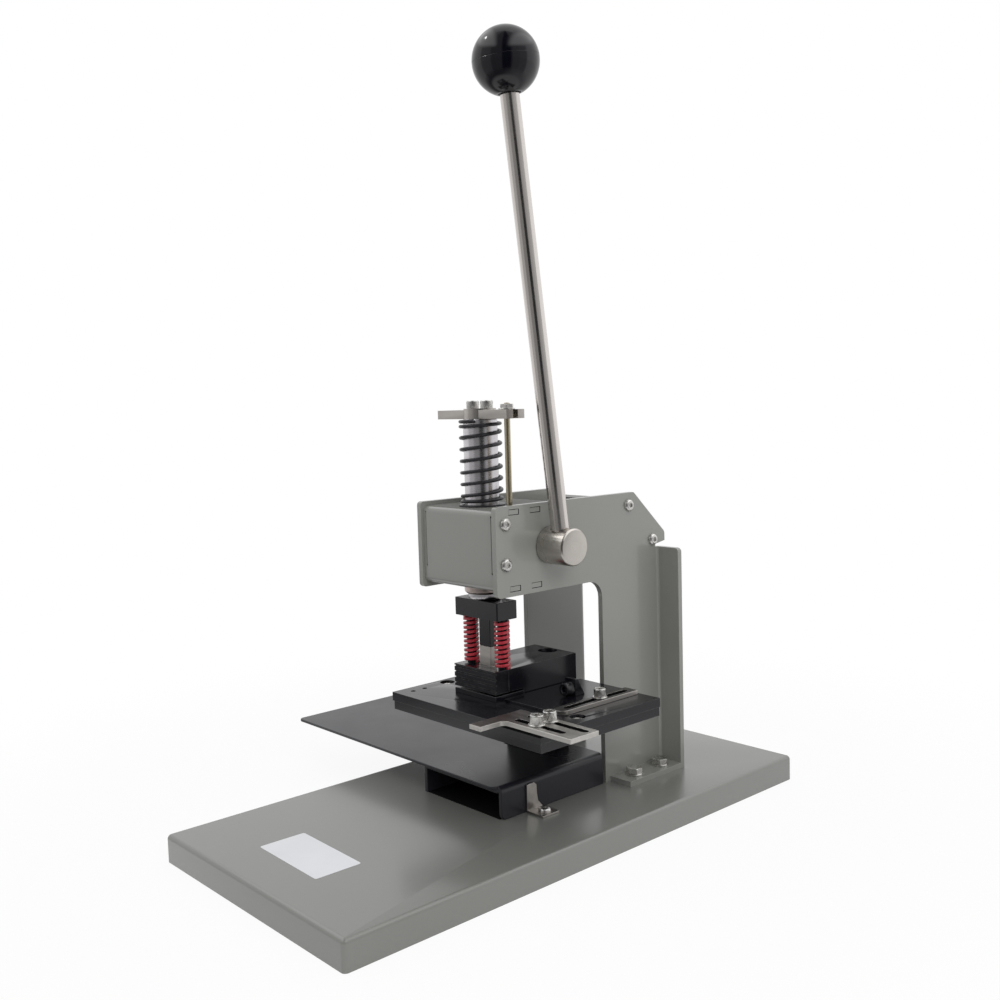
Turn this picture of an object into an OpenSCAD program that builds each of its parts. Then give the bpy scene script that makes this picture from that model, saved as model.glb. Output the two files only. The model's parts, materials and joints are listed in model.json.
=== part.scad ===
// Desk slot punching machine. Pulling the lever turns a pinion, the pinion drives
// a ram with rack teeth, and the ram pushes a slot-shaped punch through a card.
// X points to the operator's right, Y to the back and Z up, in millimetres.
// The origin is on the resting face, under the middle of the base's front rim.

/* [Base] */
// Width of the base
base_w = 200; // [190:1:210]
// Depth of the base from front to back
base_d = 400; // [390:1:410]
// Height of the base
base_h = 18; // [17:1:20]
// Thickness of the base's folded sheet
base_t = 3; // [2.5:0.5:3.5]
// Radius of the folds and corners of the base
base_r = 3; // [2.5:0.5:3]

/* [Frame] */
// Width over the two side plates
frame_w = 80; // [78:1:84]
// Thickness of the side plates
plate_t = 4; // [3:0.5:4]
// Front edge of the arm
arm_front = 163; // [161.5:0.5:163.5]
// Underside of the arm
arm_low = 162; // [160:0.5:163]
// Top of the arm
arm_top = 220.5; // [220:0.5:223]
// Front edge of the column
column_front = 260; // [259.5:0.5:262.5]
// Back face of the column's flanges
column_back = 323.5; // [320.5:1:328.5]
// Reach of each flange beyond its side plate
flange_reach = 19; // [16:1:20]
// Top of the flanges
flange_top = 179; // [170:1:179]

/* [Drive] */
// Distance of the ram's axis from the front rim
ram_y = 187.5; // [187.5:0.1:187.5]
// Diameter of the ram
ram_dia = 23; // [22.6:0.1:23]
// Distance of the shaft's axis from the front rim
shaft_y = 209.5; // [209.5:0.1:209.5]
// Height of the shaft's axis
shaft_z = 192; // [191:0.5:193]
// Module of the rack and pinion
gear_module = 1.5; // [1.5:0.1:1.5]
// Teeth of the pinion
pinion_teeth = 18; // [18:1:18]
// Diameter of the shaft
shaft_dia = 16; // [14:0.5:16]

/* [Lever] */
// Diameter of the hub
hub_dia = 24.5; // [22:0.5:25]
// Length of the hub
hub_l = 23.5; // [22:0.5:24]
// Diameter of the rod
rod_dia = 12; // [11:0.5:12.5]
// Distance from the shaft to the middle of the ball
lever_l = 302.6; // [280:1:320]
// Forward lean of the rod at rest, in degrees
lever_lean = 7.3; // [5:0.1:10]
// Diameter of the ball
ball_dia = 42.6; // [38:0.5:45]

/* [Punch] */
// Top of the spring seat to the underside of the cap, the main spring's room
main_spring_h = 56.8; // [54:0.2:58]
// Outer diameter of the main spring, over the corners of its turns
main_spring_dia = 30; // [29.8:0.1:31]
// Wire of the main spring
main_wire = 2.2; // [2:0.1:2.3]
// Width of the punch head
head_w = 43; // [41:0.5:43]
// Depth of the punch head
head_d = 18; // [18:0.5:20]
// Height of the punch head
head_h = 12.2; // [11.8:0.1:12.4]
// Length of the punched slot
slot_l = 26; // [22:0.5:27]
// Width of the punched slot
slot_w = 4.6; // [4:0.1:4.8]
// Diameter of the round hook in the middle of the slot
slot_hook = 8; // [6:0.5:8.5]

/* [Die and guides] */
// Height of the working face of the die plate
die_top = 89.2; // [88:0.2:90]
// Height of the die block above the die plate
block_h = 20.1; // [20:0.1:21]
// Width of the die block
block_w = 41.6; // [41.2:0.2:42]
// Thickness of the side guide and of its support
guide_t = 3; // [2.5:0.5:3]

/* [Tray] */
// Height of the tray's upper face
tray_top = 40; // [38:1:42]
// Reach of the tray to the left of the middle
tray_left = 196; // [180:1:200]
// Front edge of the tray
tray_front = 157.5; // [153.5:1:157.5]
// Thickness of the tray's sheet
tray_t = 2; // [1.5:0.5:2]

/* [Hidden] */

paint = [0.52, 0.53, 0.51];
steel = [0.74, 0.73, 0.71];
polished = [0.80, 0.80, 0.82];
black_oxide = [0.12, 0.12, 0.14];
tray_black = [0.20, 0.20, 0.22];
bronze = [0.66, 0.50, 0.30];
spring_red = [0.72, 0.12, 0.14];
ball_black = [0.05, 0.05, 0.06];

rim_y = -base_t / 2;
plate_out = frame_w / 2;
plate_in = plate_out - plate_t;
box_t = 3;
box_front = arm_front + 2;
box_back = 234.5;
box_top = arm_top - 2.7;
box_low = arm_low + 3.4;
relief_x = 33.2;
tab_w = 8.5;
tab_y = [174.5, 193.5];
column_arc = 12;
bend_in = 2;
foot_y = [278.5, 306.5];
screw_front_y = 170.8;
screw_front_z = [183, 209];
screw_back = [[288.7, 211.5], [313.9, 184.7]];
button_r = 4.3;
button_h = 2.6;
m5 = 2.5;
frame_screw_r = 2;
rod_x = 26.7;
rod_r = 2;
running = 0.05;

seat_t = 1.2;
seat_top = box_top + seat_t;
ram_r = ram_dia / 2;
cap_z = seat_top + main_spring_h;
cap_t = 5.9;
cap_half = 34.8;
boss_h = 0.9;
cap_screw_x = 7;
head_top = 154.9;
head_z = head_top - head_h;
punch_front = 185.8;
punch_split = 122.3;
punch_tip = 95;
shank_w = 11;
shank_d = 5.8;
side_spring_x = 15.4;
side_spring_dia = 10.6;
side_wire = [2, 1.5];

pitch_r = gear_module * pinion_teeth / 2;
tip_r = pitch_r + 0.93 * gear_module;
root_r = pitch_r - 1.25 * gear_module;
flank_r = pitch_r * cos(20);
backlash = 0.24;
rack_line = shaft_y - pitch_r;
rack_pitch = PI * gear_module;
shaft_r = shaft_dia / 2;
bush_r = 15.5;
bush_out = 13.7;
bush_low = 159.2;
hub_x = plate_out + 0.4;
hub_r = hub_dia / 2;
rod_in_hub = hub_x + 11.8;
neck_r = 5;
ball_r = ball_dia / 2;
ball_flat = lever_l - sqrt(ball_r * ball_r - 49);

block_top = die_top + block_h;
block_split = 188;
block_back = 252.2;
block_hole_y = 245;
insert_t = 3.5;
throat_h = 1.4;
throat_back = 201.5;
stripper_front = 175.8;
plate_low = die_top - 12;
plate_x = [-53.5, 93.2];
plate_y = [146.5, 256.5];
plate_screw = [[-45.5, 189], [82.7, 189]];
tray_back = 257.5;
ped_x = [-26, 8];
ped_y = 227;
ped_bolt = [[-18, 242], [0, 242]];
clamp_x = 48.1;
stop_x = 70.9;
stop_front = 187.7;
guide_low = die_top + guide_t + running;
guide_top = guide_low + guide_t;
guide_screw_x = 92;
guide_screw_y = [145, 155.7];
slot_mid = punch_front + shank_d / 2;

// Points of an arc from angle a to angle b
function arc(cx, cy, r, a, b, n = 6) =
    [for (i = [0:n]) [cx + r * cos(a + (b - a) * i / n), cy + r * sin(a + (b - a) * i / n)]];

// Box from its lowest to its highest corner
module block(low, high) {
    translate(low) cube(high - low);
}

// Cylinder along X
module rod_along_x(x0, x1, y, z, r) {
    translate([x0, y, z]) rotate([0, 90, 0]) cylinder(r = r, h = x1 - x0, $fn = 64);
}

// Upright cylinder
module post(x, y, z0, z1, r, sides = 48) {
    translate([x, y, z0]) cylinder(r = r, h = z1 - z0, $fn = sides);
}

// Upright slot with round ends, from one end's centre to the other's
module slot_cut(a, b, r, z0, z1) {
    along = b - a;
    post(a[0], a[1], z0, z1, r);
    post(b[0], b[1], z0, z1, r);
    translate([a[0], a[1], z0]) rotate([0, 0, atan2(along[1], along[0])])
        translate([0, -r, 0]) cube([norm(along), 2 * r, z1 - z0]);
}

// Socket head cap screw, standing with the underside of its head at z
module cap_screw(x, y, z, head_r, head_h, shank_r, shank_l) {
    difference() {
        union() {
            translate([x, y, z]) rotate_extrude($fn = 48)
                polygon([[0, -shank_l], [shank_r, -shank_l], [shank_r, 0], [head_r, 0],
                    [head_r, head_h - 0.5], [head_r - 0.5, head_h], [0, head_h]]);
        }
        translate([x, y, z + head_h * 0.45]) cylinder(r = head_r * 0.55, h = head_h, $fn = 6);
    }
}

// Button head screw through a side plate, pointing along X towards the middle
module button_screw(y, z, length) {
    translate([plate_out, y, z]) rotate([0, 90, 0]) difference() {
        rotate_extrude($fn = 48)
            polygon(concat([[0, -length], [frame_screw_r, -length], [frame_screw_r, 0],
                [button_r, 0], [button_r, 0.6]],
                arc(0, -2.05, 5.05, 31.7, 67, 6), [[0, button_h]]));
        translate([0, 0, 1.1]) cylinder(r = 1.73, h = button_h, $fn = 6);
    }
}

// Height of a wound tube's middle after u turns, with closed turns at both ends
function wound_z(u, closed, active, close_pitch, pitch) =
    min(u, closed) * close_pitch + max(0, min(u - closed, active)) * pitch
    + max(0, u - closed - active) * close_pitch;

// Middle points of a spring's wire, eight to a turn, with a straight run at each end
function spring_path(r, turns, closed, close_pitch, pitch, wire_d) =
    let (n = round(turns * 8),
         round_part = [for (i = [0:n]) let (u = i / 8)
             [r * cos(360 * u), r * sin(360 * u),
              wound_z(u, closed, turns - 2 * closed, close_pitch, pitch)]],
         end_a = 360 * n / 8, last = round_part[n])
    concat([[r, -wire_d, 0]], round_part, [last + wire_d * [-sin(end_a), cos(end_a), 0]]);

// Least gap between one turn and the next, measured on the path's points
function least_gap(path, wire_h) =
    min([for (i = [1:len(path) - 10], j = [7:9])
        if (i + j < len(path) - 1) norm(path[i + j] - path[i])]) - wire_h;

// Wire of a spring: six-sided rings joined by triangles
module wire_tube(path, wire_w, wire_h) {
    n = len(path);
    rings = [for (i = [0:n - 1])
        let (t0 = path[min(i + 1, n - 1)] - path[max(i - 1, 0)], t = t0 / norm(t0),
             out0 = cross(t, [0, 0, 1]), out = out0 / norm(out0), up = cross(out, t))
        for (k = [0:5]) path[i] + out * (wire_w / 2 * cos(60 * k)) + up * (wire_h / 2 * sin(60 * k))
            / cos(30)];
    sides = [for (i = [0:n - 2], k = [0:5]) let (a = 6 * i + k, b = 6 * i + (k + 1) % 6)
        each [[a, a + 6, b + 6], [a, b + 6, b]]];
    caps = [for (k = [1:4]) each [[0, k, k + 1], [6 * n - 6, 6 * n - 6 + k + 1, 6 * n - 6 + k]]];
    polyhedron(points = rings, faces = concat(sides, caps), convexity = 12);
}

module spring(height, r, turns, closed, close_gap, wire_w, wire_h, label) {
    close_pitch = wire_h + close_gap;
    pitch = (height - wire_h - 2 * closed * close_pitch) / (turns - 2 * closed);
    path = spring_path(r, turns, closed, close_pitch, pitch, wire_w);
    echo(str(label, " least gap ", least_gap(path, wire_h)));
    translate([0, 0, wire_h / 2]) wire_tube(path, wire_w, wire_h);
}

// Outline of the punched slot: a long slot with a round hook at the back of its middle
module slot_outline(grow) {
    r = slot_w / 2 + grow;
    end = slot_l / 2 - slot_w / 2;
    for (s = [-1, 1]) translate([s * end, slot_mid]) circle(r = r, $fn = 32);
    translate([-end, slot_mid - r]) square([2 * end, 2 * r]);
    translate([0, slot_mid + 1.8]) circle(r = slot_hook / 2 + grow, $fn = 48);
}

// Shaft through the die block that the punch runs in
module punch_way(z0, z1) {
    translate([0, 0, z0]) linear_extrude(z1 - z0) {
        slot_outline(0.1);
        translate([-shank_w / 2 - 0.1, punch_front - 0.1]) square([shank_w + 0.2, shank_d + 0.2]);
    }
}

module base_plate() {
    x = base_w / 2;
    y1 = rim_y + base_d;
    r = base_r;
    color(paint) difference() {
        union() {
            block([-x + r, rim_y, 0], [x - r, y1, base_h - r]);
            block([-x, rim_y + r, 0], [x, y1 - r, base_h - r]);
            block([-x + r, rim_y + r, base_h - r - 1], [x - r, y1 - r, base_h]);
            for (sx = [-1, 1], cy = [rim_y + r, y1 - r]) {
                post(sx * (x - r), cy, 0, base_h - r, r, 32);
                translate([sx * (x - r), cy, base_h - r]) sphere(r = r, $fn = 32);
            }
            for (sx = [-1, 1]) translate([sx * (x - r), rim_y + r, base_h - r])
                rotate([-90, 0, 0]) cylinder(r = r, h = base_d - 2 * r, $fn = 32);
            for (cy = [rim_y + r, y1 - r]) translate([-x + r, cy, base_h - r])
                rotate([0, 90, 0]) cylinder(r = r, h = base_w - 2 * r, $fn = 32);
        }
        block([-x + base_t, rim_y + base_t, -1], [x - base_t, y1 - base_t, base_h - base_t]);
        for (sx = [-1, 1], y = foot_y) post(sx * 50, y, 0, base_h + 1, 3.3);
        for (p = ped_bolt) post(p[0], p[1], 0, base_h + 1, 4.3);
        post(49.5, 190.3, 0, base_h + 1, 2);
    }
}

// Right side plate: arm and column in one sheet, its back edge folded outwards
module side_plate() {
    web_back = column_back - plate_t - bend_in;
    outline = concat(
        arc(arm_front + 3, arm_low + 3, 3, 270, 180),
        arc(arm_front + 2.5, arm_top - 2.5, 2.5, 180, 90),
        arc(293.5, arm_top - 3, 3, 90, 46),
        arc(column_back + 0.5, 187.5, 4, 46, 0),
        [[column_back + 4.5, 182.7], [web_back, flange_top + 2], [web_back, base_h],
         [column_front, base_h]],
        arc(column_front - column_arc, arm_low - column_arc, column_arc, 0, 90));
    difference() {
        union() {
            translate([plate_in, 0, 0]) rotate([90, 0, 90]) linear_extrude(plate_t) polygon(outline);
            translate([plate_out + bend_in, web_back, base_h]) intersection() {
                difference() {
                    cylinder(r = plate_t + bend_in, h = flange_top - base_h, $fn = 48);
                    translate([0, 0, -1]) cylinder(r = bend_in, h = 200, $fn = 48);
                }
                translate([-10, 0, 0]) cube([10, 10, 200]);
            }
            translate([0, column_back - plate_t, 0]) rotate([90, 0, 0]) mirror([0, 0, 1])
                linear_extrude(plate_t) polygon(concat(
                    [[plate_out + bend_in, base_h], [plate_out + flange_reach, base_h]],
                    arc(plate_out + flange_reach - 3, flange_top - 3, 3, 0, 90),
                    [[plate_out + bend_in, flange_top]]));
            block([plate_out, 264.5, base_h],
                [plate_out + flange_reach, web_back + bend_in, base_h + plate_t]);
        }
        rod_along_x(plate_in - 1, plate_out + 1, shaft_y, shaft_z, shaft_r + 0.6);
        for (z = screw_front_z) rod_along_x(plate_in - 1, plate_out + 1, screw_front_y, z, frame_screw_r + 0.2);
        for (p = screw_back) rod_along_x(plate_in - 1, plate_out + 1, p[0], p[1], frame_screw_r + 0.2);
        for (y = tab_y, z = [box_low, box_top - box_t])
            block([plate_in - 1, y, z], [plate_out + 1, y + tab_w, z + box_t]);
        for (y = foot_y) post(50, y, base_h - 1, base_h + plate_t + 1, 3.3);
    }
}

module side_plate_left() {
    color(paint) mirror([1, 0, 0]) side_plate();
}

module side_plate_right() {
    color(paint) side_plate();
}

// Folded sheet that closes the arm's front, top and underside, tabbed into the side plates
module arm_box() {
    r = 4;
    profile = concat(
        [[box_back, box_low], [box_back, box_low + box_t], [box_front + box_t, box_low + box_t],
         [box_front + box_t, box_top - box_t], [box_back, box_top - box_t], [box_back, box_top]],
        arc(box_front + r, box_top - r, r, 90, 180),
        arc(box_front + r, box_low + r, r, 180, 270));
    color(paint) difference() {
        union() {
            translate([-plate_in, 0, 0]) rotate([90, 0, 90]) linear_extrude(2 * plate_in) polygon(profile);
            for (y = tab_y, z = [box_low, box_top - box_t])
                block([-plate_out + 0.3, y, z], [plate_out - 0.3, y + tab_w, z + box_t]);
        }
        for (s = [-1, 1]) translate([s * relief_x, box_front - 1, 0]) {
            translate([-0.3, 0, box_low + 12]) cube([0.6, box_t + 1.05, box_top - box_low - 12 - r]);
            for (z = [box_low + 12, box_top - r]) translate([0, 0, z]) rotate([-90, 0, 0])
                cylinder(r = 0.7, h = box_t + 1.05, $fn = 24);
        }
        post(0, ram_y, box_top - box_t - 1, box_top + 1, ram_r + 0.7);
        post(0, ram_y, box_low - 1, box_low + box_t + 1, bush_out);
        post(rod_x, ram_y, box_top - box_t - 1, box_top + 1, rod_r + 0.3);
    }
}

// Sloping cover behind the arm, with a side flange along each side plate
module rear_cover() {
    slope = 46;
    color(paint) translate([0, 296.5, arm_top - 5]) rotate([-slope, 0, 0]) difference() {
        union() {
            block([-plate_in, 0, -2.5], [plate_in, 36, 0]);
            for (s = [-1, 1]) block([s * plate_in - (s + 1) * 1.25, 0, -16],
                [s * plate_in - (s - 1) * 1.25, 36, -2.5]);
        }
        rotate([slope, 0, 0]) translate([0, -296.5, -arm_top + 5])
            for (p = screw_back) rod_along_x(-plate_in - 1, plate_in + 1, p[0], p[1], frame_screw_r);
    }
}

// Solid block in the arm that carries the ram and the shaft
module guide_block() {
    z0 = box_low + box_t;
    z1 = box_top - box_t;
    color(black_oxide) difference() {
        block([-plate_in, box_front + box_t + 0.1, z0], [plate_in, 230.5, z1]);
        post(0, ram_y, z0 - 1, z1 + 1, bush_out, 96);
        rod_along_x(-plate_in - 1, plate_in + 1, shaft_y, shaft_z, bush_r);
        post(rod_x, ram_y, 176, z1 + 1, rod_r + running);
        for (s = [-1, 1], z = screw_front_z)
            rod_along_x(s * 31.1 - 5.1, s * 31.1 + 5.1, screw_front_y, z, frame_screw_r);
    }
}

module ram_bush(z0, z1) {
    color(bronze) difference() {
        post(0, ram_y, z0, z1, bush_out, 96);
        post(0, ram_y, z0 - 1, z1 + 1, ram_r + running, 96);
    }
}

module ram_bush_upper() {
    ram_bush(shaft_z + tip_r + 0.4, box_top - box_t);
}

// The lower bush stands out under the arm and has a chamfered rim
module ram_bush_lower() {
    color(bronze) translate([0, ram_y, 0]) rotate_extrude($fn = 96)
        polygon([[ram_r + running, bush_low], [bush_out - 1.6, bush_low], [bush_out, bush_low + 1.6],
            [bush_out, shaft_z - tip_r - 0.4], [ram_r + running, shaft_z - tip_r - 0.4]]);
}

module shaft_bush(x0, x1) {
    color(bronze) difference() {
        rod_along_x(x0, x1, shaft_y, shaft_z, bush_r);
        rod_along_x(x0 - 1, x1 + 1, shaft_y, shaft_z, shaft_r + running);
    }
}

module shaft_bush_left() {
    shaft_bush(-plate_in, -ram_r - 0.6);
}

module shaft_bush_right() {
    shaft_bush(ram_r + 0.6, plate_in);
}

// The four screws of one side plate
module frame_screws() {
    for (z = screw_front_z) button_screw(screw_front_y, z, plate_t + 9);
    for (p = screw_back) button_screw(p[0], p[1], plate_t + 2.5);
}

module frame_screws_left() {
    color(steel) mirror([1, 0, 0]) frame_screws();
}

module frame_screws_right() {
    color(steel) frame_screws();
}

module foot_bolts() {
    color(steel) for (s = [-1, 1], y = foot_y) {
        post(s * 50, y, base_h + plate_t, base_h + plate_t + 1.2, 6);
        translate([s * 50, y, base_h + plate_t + 1.2]) cylinder(r = 5.7, h = 4, $fn = 6);
        post(s * 50, y, 8, base_h + plate_t + 1.3, 3);
    }
}

module foot_nuts() {
    color(steel) for (s = [-1, 1], y = foot_y) difference() {
        translate([s * 50, y, base_h - base_t - 5]) cylinder(r = 5.7, h = 5, $fn = 6);
        post(s * 50, y, 0, base_h, 3);
    }
}

module spring_seat() {
    color(steel) difference() {
        post(0, ram_y, box_top, seat_top, 15.5, 96);
        post(0, ram_y, box_top - 1, seat_top + 1, ram_r + 0.3, 96);
    }
}

// Return spring of the ram
module main_spring() {
    color(black_oxide) translate([0, ram_y, seat_top + running]) rotate([0, 0, 120]) spring(
        height = main_spring_h - 2 * running, r = (main_spring_dia - main_wire) / 2, turns = 8.5,
        closed = 1.25, close_gap = 1, wire_w = main_wire, wire_h = main_wire, label = "main spring");
}

// Ram with rack teeth cut across a flat at its back
module ram() {
    gap_half = rack_pitch / 4 + backlash / 4;
    deep = 1.25 * gear_module;
    high = 0.93 * gear_module;
    slope = tan(20);
    color(polished) difference() {
        translate([0, ram_y, head_top]) rotate_extrude($fn = 96)
            polygon(concat([[0, 0], [ram_r - 2.6, 0]], arc(ram_r - 2.6, 2.6, 2.6, 270, 360),
                [[ram_r, cap_z - head_top - 0.6], [ram_r - 0.6, cap_z - head_top],
                 [0, cap_z - head_top]]));
        block([-ram_r, rack_line + high, 180], [ram_r, ram_y + ram_r + 1, 226]);
        for (i = [-2:6]) translate([-ram_r, rack_line, shaft_z + i * rack_pitch])
            rotate([90, 0, 90]) linear_extrude(2 * ram_r) polygon([
                [-deep, -gap_half + deep * slope], [-deep, gap_half - deep * slope],
                [high + 0.5, gap_half + (high + 0.5) * slope],
                [high + 0.5, -gap_half - (high + 0.5) * slope]]);
        for (s = [-1, 1]) post(s * cap_screw_x, ram_y, cap_z - 12, cap_z + 1, m5);
    }
}

// Cross bar on top of the ram, forked at its right end for the guide rod
module ram_cap() {
    color(steel) difference() {
        union() {
            block([-cap_half, ram_y - 7.8, cap_z], [cap_half, ram_y + 7.8, cap_z + cap_t]);
            post(0, ram_y, cap_z, cap_z + cap_t + boss_h, 10.8, 96);
        }
        for (s = [-1, 1]) post(s * cap_screw_x, ram_y, cap_z - 1, cap_z + cap_t + 2, m5 + 0.2);
        slot_cut([rod_x, ram_y], [cap_half + 5, ram_y], rod_r + 0.1, cap_z - 1, cap_z + cap_t + 1);
    }
}

module cap_screws() {
    color(polished) for (s = [-1, 1])
        cap_screw(s * cap_screw_x, ram_y, cap_z + cap_t + boss_h, 4.25, 5.3, m5, 17);
}

// Rod that keeps the cap from turning
module guide_rod() {
    color(bronze) {
        post(rod_x, ram_y, 198, cap_z + cap_t + 4, rod_r);
        translate([rod_x, ram_y, cap_z + cap_t + 4]) rotate_extrude($fn = 48)
            polygon(concat([[0, 0]], arc(0, -3.9, 4.38, 62.8, 90, 4)));
    }
}

module guide_rod_nut() {
    color(steel) difference() {
        union() {
            post(rod_x, ram_y, cap_z + cap_t, cap_z + cap_t + 0.9, 5.4);
            translate([rod_x, ram_y, cap_z + cap_t + 0.9]) cylinder(r = 4.7, h = 2.7, $fn = 6);
        }
        post(rod_x, ram_y, cap_z + 1, cap_z + cap_t + 5, rod_r);
    }
}

module punch_head() {
    w = head_w / 2;
    d = head_d / 2;
    c = 0.5;
    color(black_oxide) translate([0, ram_y, head_z]) linear_extrude(head_h)
        polygon([[-w + c, -d], [w - c, -d], [w, -d + c], [w, d - c], [w - c, d], [-w + c, d],
            [-w, d - c], [-w, -d + c]]);
}

module punch_holder() {
    color(black_oxide) block([-shank_w / 2, punch_front, punch_split],
        [shank_w / 2, punch_front + shank_d, head_z]);
}

// Ground punch: a shank above and the slot-shaped cutting end below
module punch() {
    color(steel) {
        block([-shank_w / 2, punch_front, block_top - 1],
            [shank_w / 2, punch_front + shank_d, punch_split]);
        translate([0, 0, punch_tip]) linear_extrude(block_top - 0.5 - punch_tip) slot_outline(0);
    }
}

module spring_pilots() {
    color(steel) for (s = [-1, 1])
        post(s * side_spring_x, ram_y, 127, head_z, 2.6);
}

module punch_spring(s, label) {
    color(spring_red) translate([s * side_spring_x, ram_y, block_top + running]) spring(
        height = head_z - block_top - 2 * running, r = (side_spring_dia - side_wire[0]) / 2,
        turns = 10.75, closed = 1, close_gap = 0.45, wire_w = side_wire[0], wire_h = side_wire[1],
        label = label);
}

module punch_spring_left() {
    punch_spring(-1, "left punch spring");
}

module punch_spring_right() {
    punch_spring(1, "right punch spring");
}

module pinion_shaft() {
    color(steel) difference() {
        rod_along_x(-plate_out - 3, hub_x + 5.6, shaft_y, shaft_z, shaft_r);
        difference() {
            rod_along_x(-plate_out - 1.6, -plate_out - 0.4, shaft_y, shaft_z, shaft_r + 1);
            rod_along_x(-plate_out - 2, -plate_out, shaft_y, shaft_z, shaft_r - 0.6);
        }
    }
}

module retaining_ring() {
    color(steel) difference() {
        rod_along_x(-plate_out - 1.6, -plate_out - 0.4, shaft_y, shaft_z, shaft_r + 2.5);
        rod_along_x(-plate_out - 2, -plate_out, shaft_y, shaft_z, shaft_r - 0.6);
    }
}

// Angle of an involute flank at radius r, in degrees
function involute(r) = let (a = acos(min(1, flank_r / r))) tan(a) * 180 / PI - a;

// Half the angle of a pinion tooth at radius r
function tooth_half(r) = 90 / pinion_teeth - backlash / 4 / pitch_r * 180 / PI
    + involute(pitch_r) - involute(max(r, flank_r));

module pinion() {
    steps = 5;
    radii = [for (i = [0:steps]) root_r + (tip_r - root_r) * i / steps];
    teeth = [for (k = [0:pinion_teeth - 1]) let (mid = 180 + 360 * k / pinion_teeth)
        each concat([for (r = radii) r * [cos(mid - tooth_half(r)), sin(mid - tooth_half(r))]],
            [for (i = [steps:-1:0]) let (r = radii[i])
                r * [cos(mid + tooth_half(r)), sin(mid + tooth_half(r))]])];
    color(steel) difference() {
        union() {
            translate([-5, shaft_y, shaft_z]) rotate([90, 0, 90]) linear_extrude(10) polygon(teeth);
            rod_along_x(-ram_r - 0.5, ram_r + 0.5, shaft_y, shaft_z, 10);
        }
        rod_along_x(-ram_r - 1, ram_r + 1, shaft_y, shaft_z, shaft_r);
    }
}

// Places things along the lever's rod, measured from the shaft
module along_lever() {
    translate([rod_in_hub, shaft_y, shaft_z]) rotate([lever_lean, 0, 0]) children();
}

module lever_hub() {
    c = 1;
    color(steel) difference() {
        translate([hub_x, shaft_y, shaft_z]) rotate([0, 90, 0]) rotate_extrude($fn = 96)
            polygon([[0, 0], [hub_r - 0.5, 0], [hub_r, 0.5], [hub_r, hub_l - c],
                [hub_r - c, hub_l], [0, hub_l]]);
        rod_along_x(hub_x - 1, hub_x + 5.6, shaft_y, shaft_z, shaft_r);
        along_lever() {
            cylinder(r = neck_r, h = 20, $fn = 64);
            translate([0, 0, 10.4]) cylinder(r = rod_dia / 2 + 0.7, h = 10, $fn = 64);
        }
    }
}

module lever_rod() {
    r = rod_dia / 2;
    color(steel) along_lever() rotate_extrude($fn = 64)
        polygon([[0, 0], [neck_r, 0], [neck_r, 10.7], [r - 0.6, 10.7], [r, 11.5], [r, ball_flat],
            [neck_r, ball_flat], [neck_r, lever_l - 6], [0, lever_l - 6]]);
}

module ball_knob() {
    color(ball_black) along_lever() difference() {
        translate([0, 0, lever_l]) sphere(r = ball_r, $fn = 96);
        cylinder(r = ball_r, h = ball_flat, $fn = 64);
        cylinder(r = neck_r, h = lever_l - 6, $fn = 64);
    }
}

// Steel support under the die plate
module pedestal() {
    color(black_oxide) difference() {
        block([ped_x[0], ped_y, base_h], [ped_x[1], plate_y[1], plate_low]);
        for (p = ped_bolt) post(p[0], p[1], base_h - 1, base_h + 16, 4);
        post(0, block_hole_y, plate_low - 12, plate_low + 1, 4);
    }
}

module pedestal_bolts() {
    color(steel) for (p = ped_bolt) {
        post(p[0], p[1], base_h - base_t - 1, base_h + 15, 4);
        translate([p[0], p[1], base_h - base_t - 5.3]) cylinder(r = 7.2, h = 5.3, $fn = 6);
    }
}

module chip_hole(z0, z1) {
    block([-15, slot_mid - 4.5, z0], [15, slot_mid + 8.5, z1]);
}

module sub_plate() {
    color(black_oxide) difference() {
        block([plate_x[0] + 0.8, plate_y[0] + 0.8, plate_low],
            [plate_x[1] - 0.8, plate_y[1], die_top - 6]);
        chip_hole(plate_low - 1, die_top);
        post(0, block_hole_y, plate_low - 1, die_top, 4.3);
        for (p = plate_screw) post(p[0], p[1], plate_low - 1, die_top, 3);
    }
}

module die_plate() {
    color(black_oxide) difference() {
        block([plate_x[0], plate_y[0], die_top - 6], [plate_x[1], plate_y[1], die_top]);
        chip_hole(die_top - 7, die_top + 1);
        post(0, block_hole_y, die_top - 7, die_top + 1, 4.3);
        for (y = [157.5, 167.5]) post(-44.2, y, die_top - 7, die_top + 1, 1.65);
        for (p = plate_screw) translate([p[0], p[1], die_top - 6]) {
            translate([0, 0, -1]) cylinder(r = 3.2, h = 8, $fn = 48);
            translate([0, 0, 3]) cylinder(r = 5.2, h = 4, $fn = 48);
        }
    }
}

module die_plate_screws() {
    color(steel) for (p = plate_screw) translate([p[0], p[1], 0]) difference() {
        rotate_extrude($fn = 48) polygon([[0, plate_low + 1], [3, plate_low + 1], [3, die_top - 3],
            [4.7, die_top - 3], [4.7, die_top - 0.9], [4.2, die_top - 0.4], [0, die_top - 0.4]]);
        translate([0, 0, die_top - 2.4]) cylinder(r = 2.3, h = 4, $fn = 6);
    }
}

// Hardened lower die with the slot through it
module die_insert() {
    color(black_oxide) difference() {
        block([-block_w / 2, stripper_front, die_top], [block_w / 2, throat_back, die_top + insert_t]);
        translate([0, 0, die_top - 1]) linear_extrude(insert_t + 2) slot_outline(0.08);
    }
}

// Grooved block in front of the punch, above the gap that takes the card
module stripper_block() {
    low = die_top + insert_t + throat_h;
    color(black_oxide) difference() {
        block([-block_w / 2, stripper_front, low], [block_w / 2, block_split, block_top]);
        punch_way(low - 1, block_top + 1);
        for (i = [0:2]) let (z = block_top - 2.6 - 4.25 * i)
            block([-block_w, stripper_front - 1, z - 0.5], [block_w, stripper_front + 1.2, z + 0.5]);
    }
}

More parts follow.
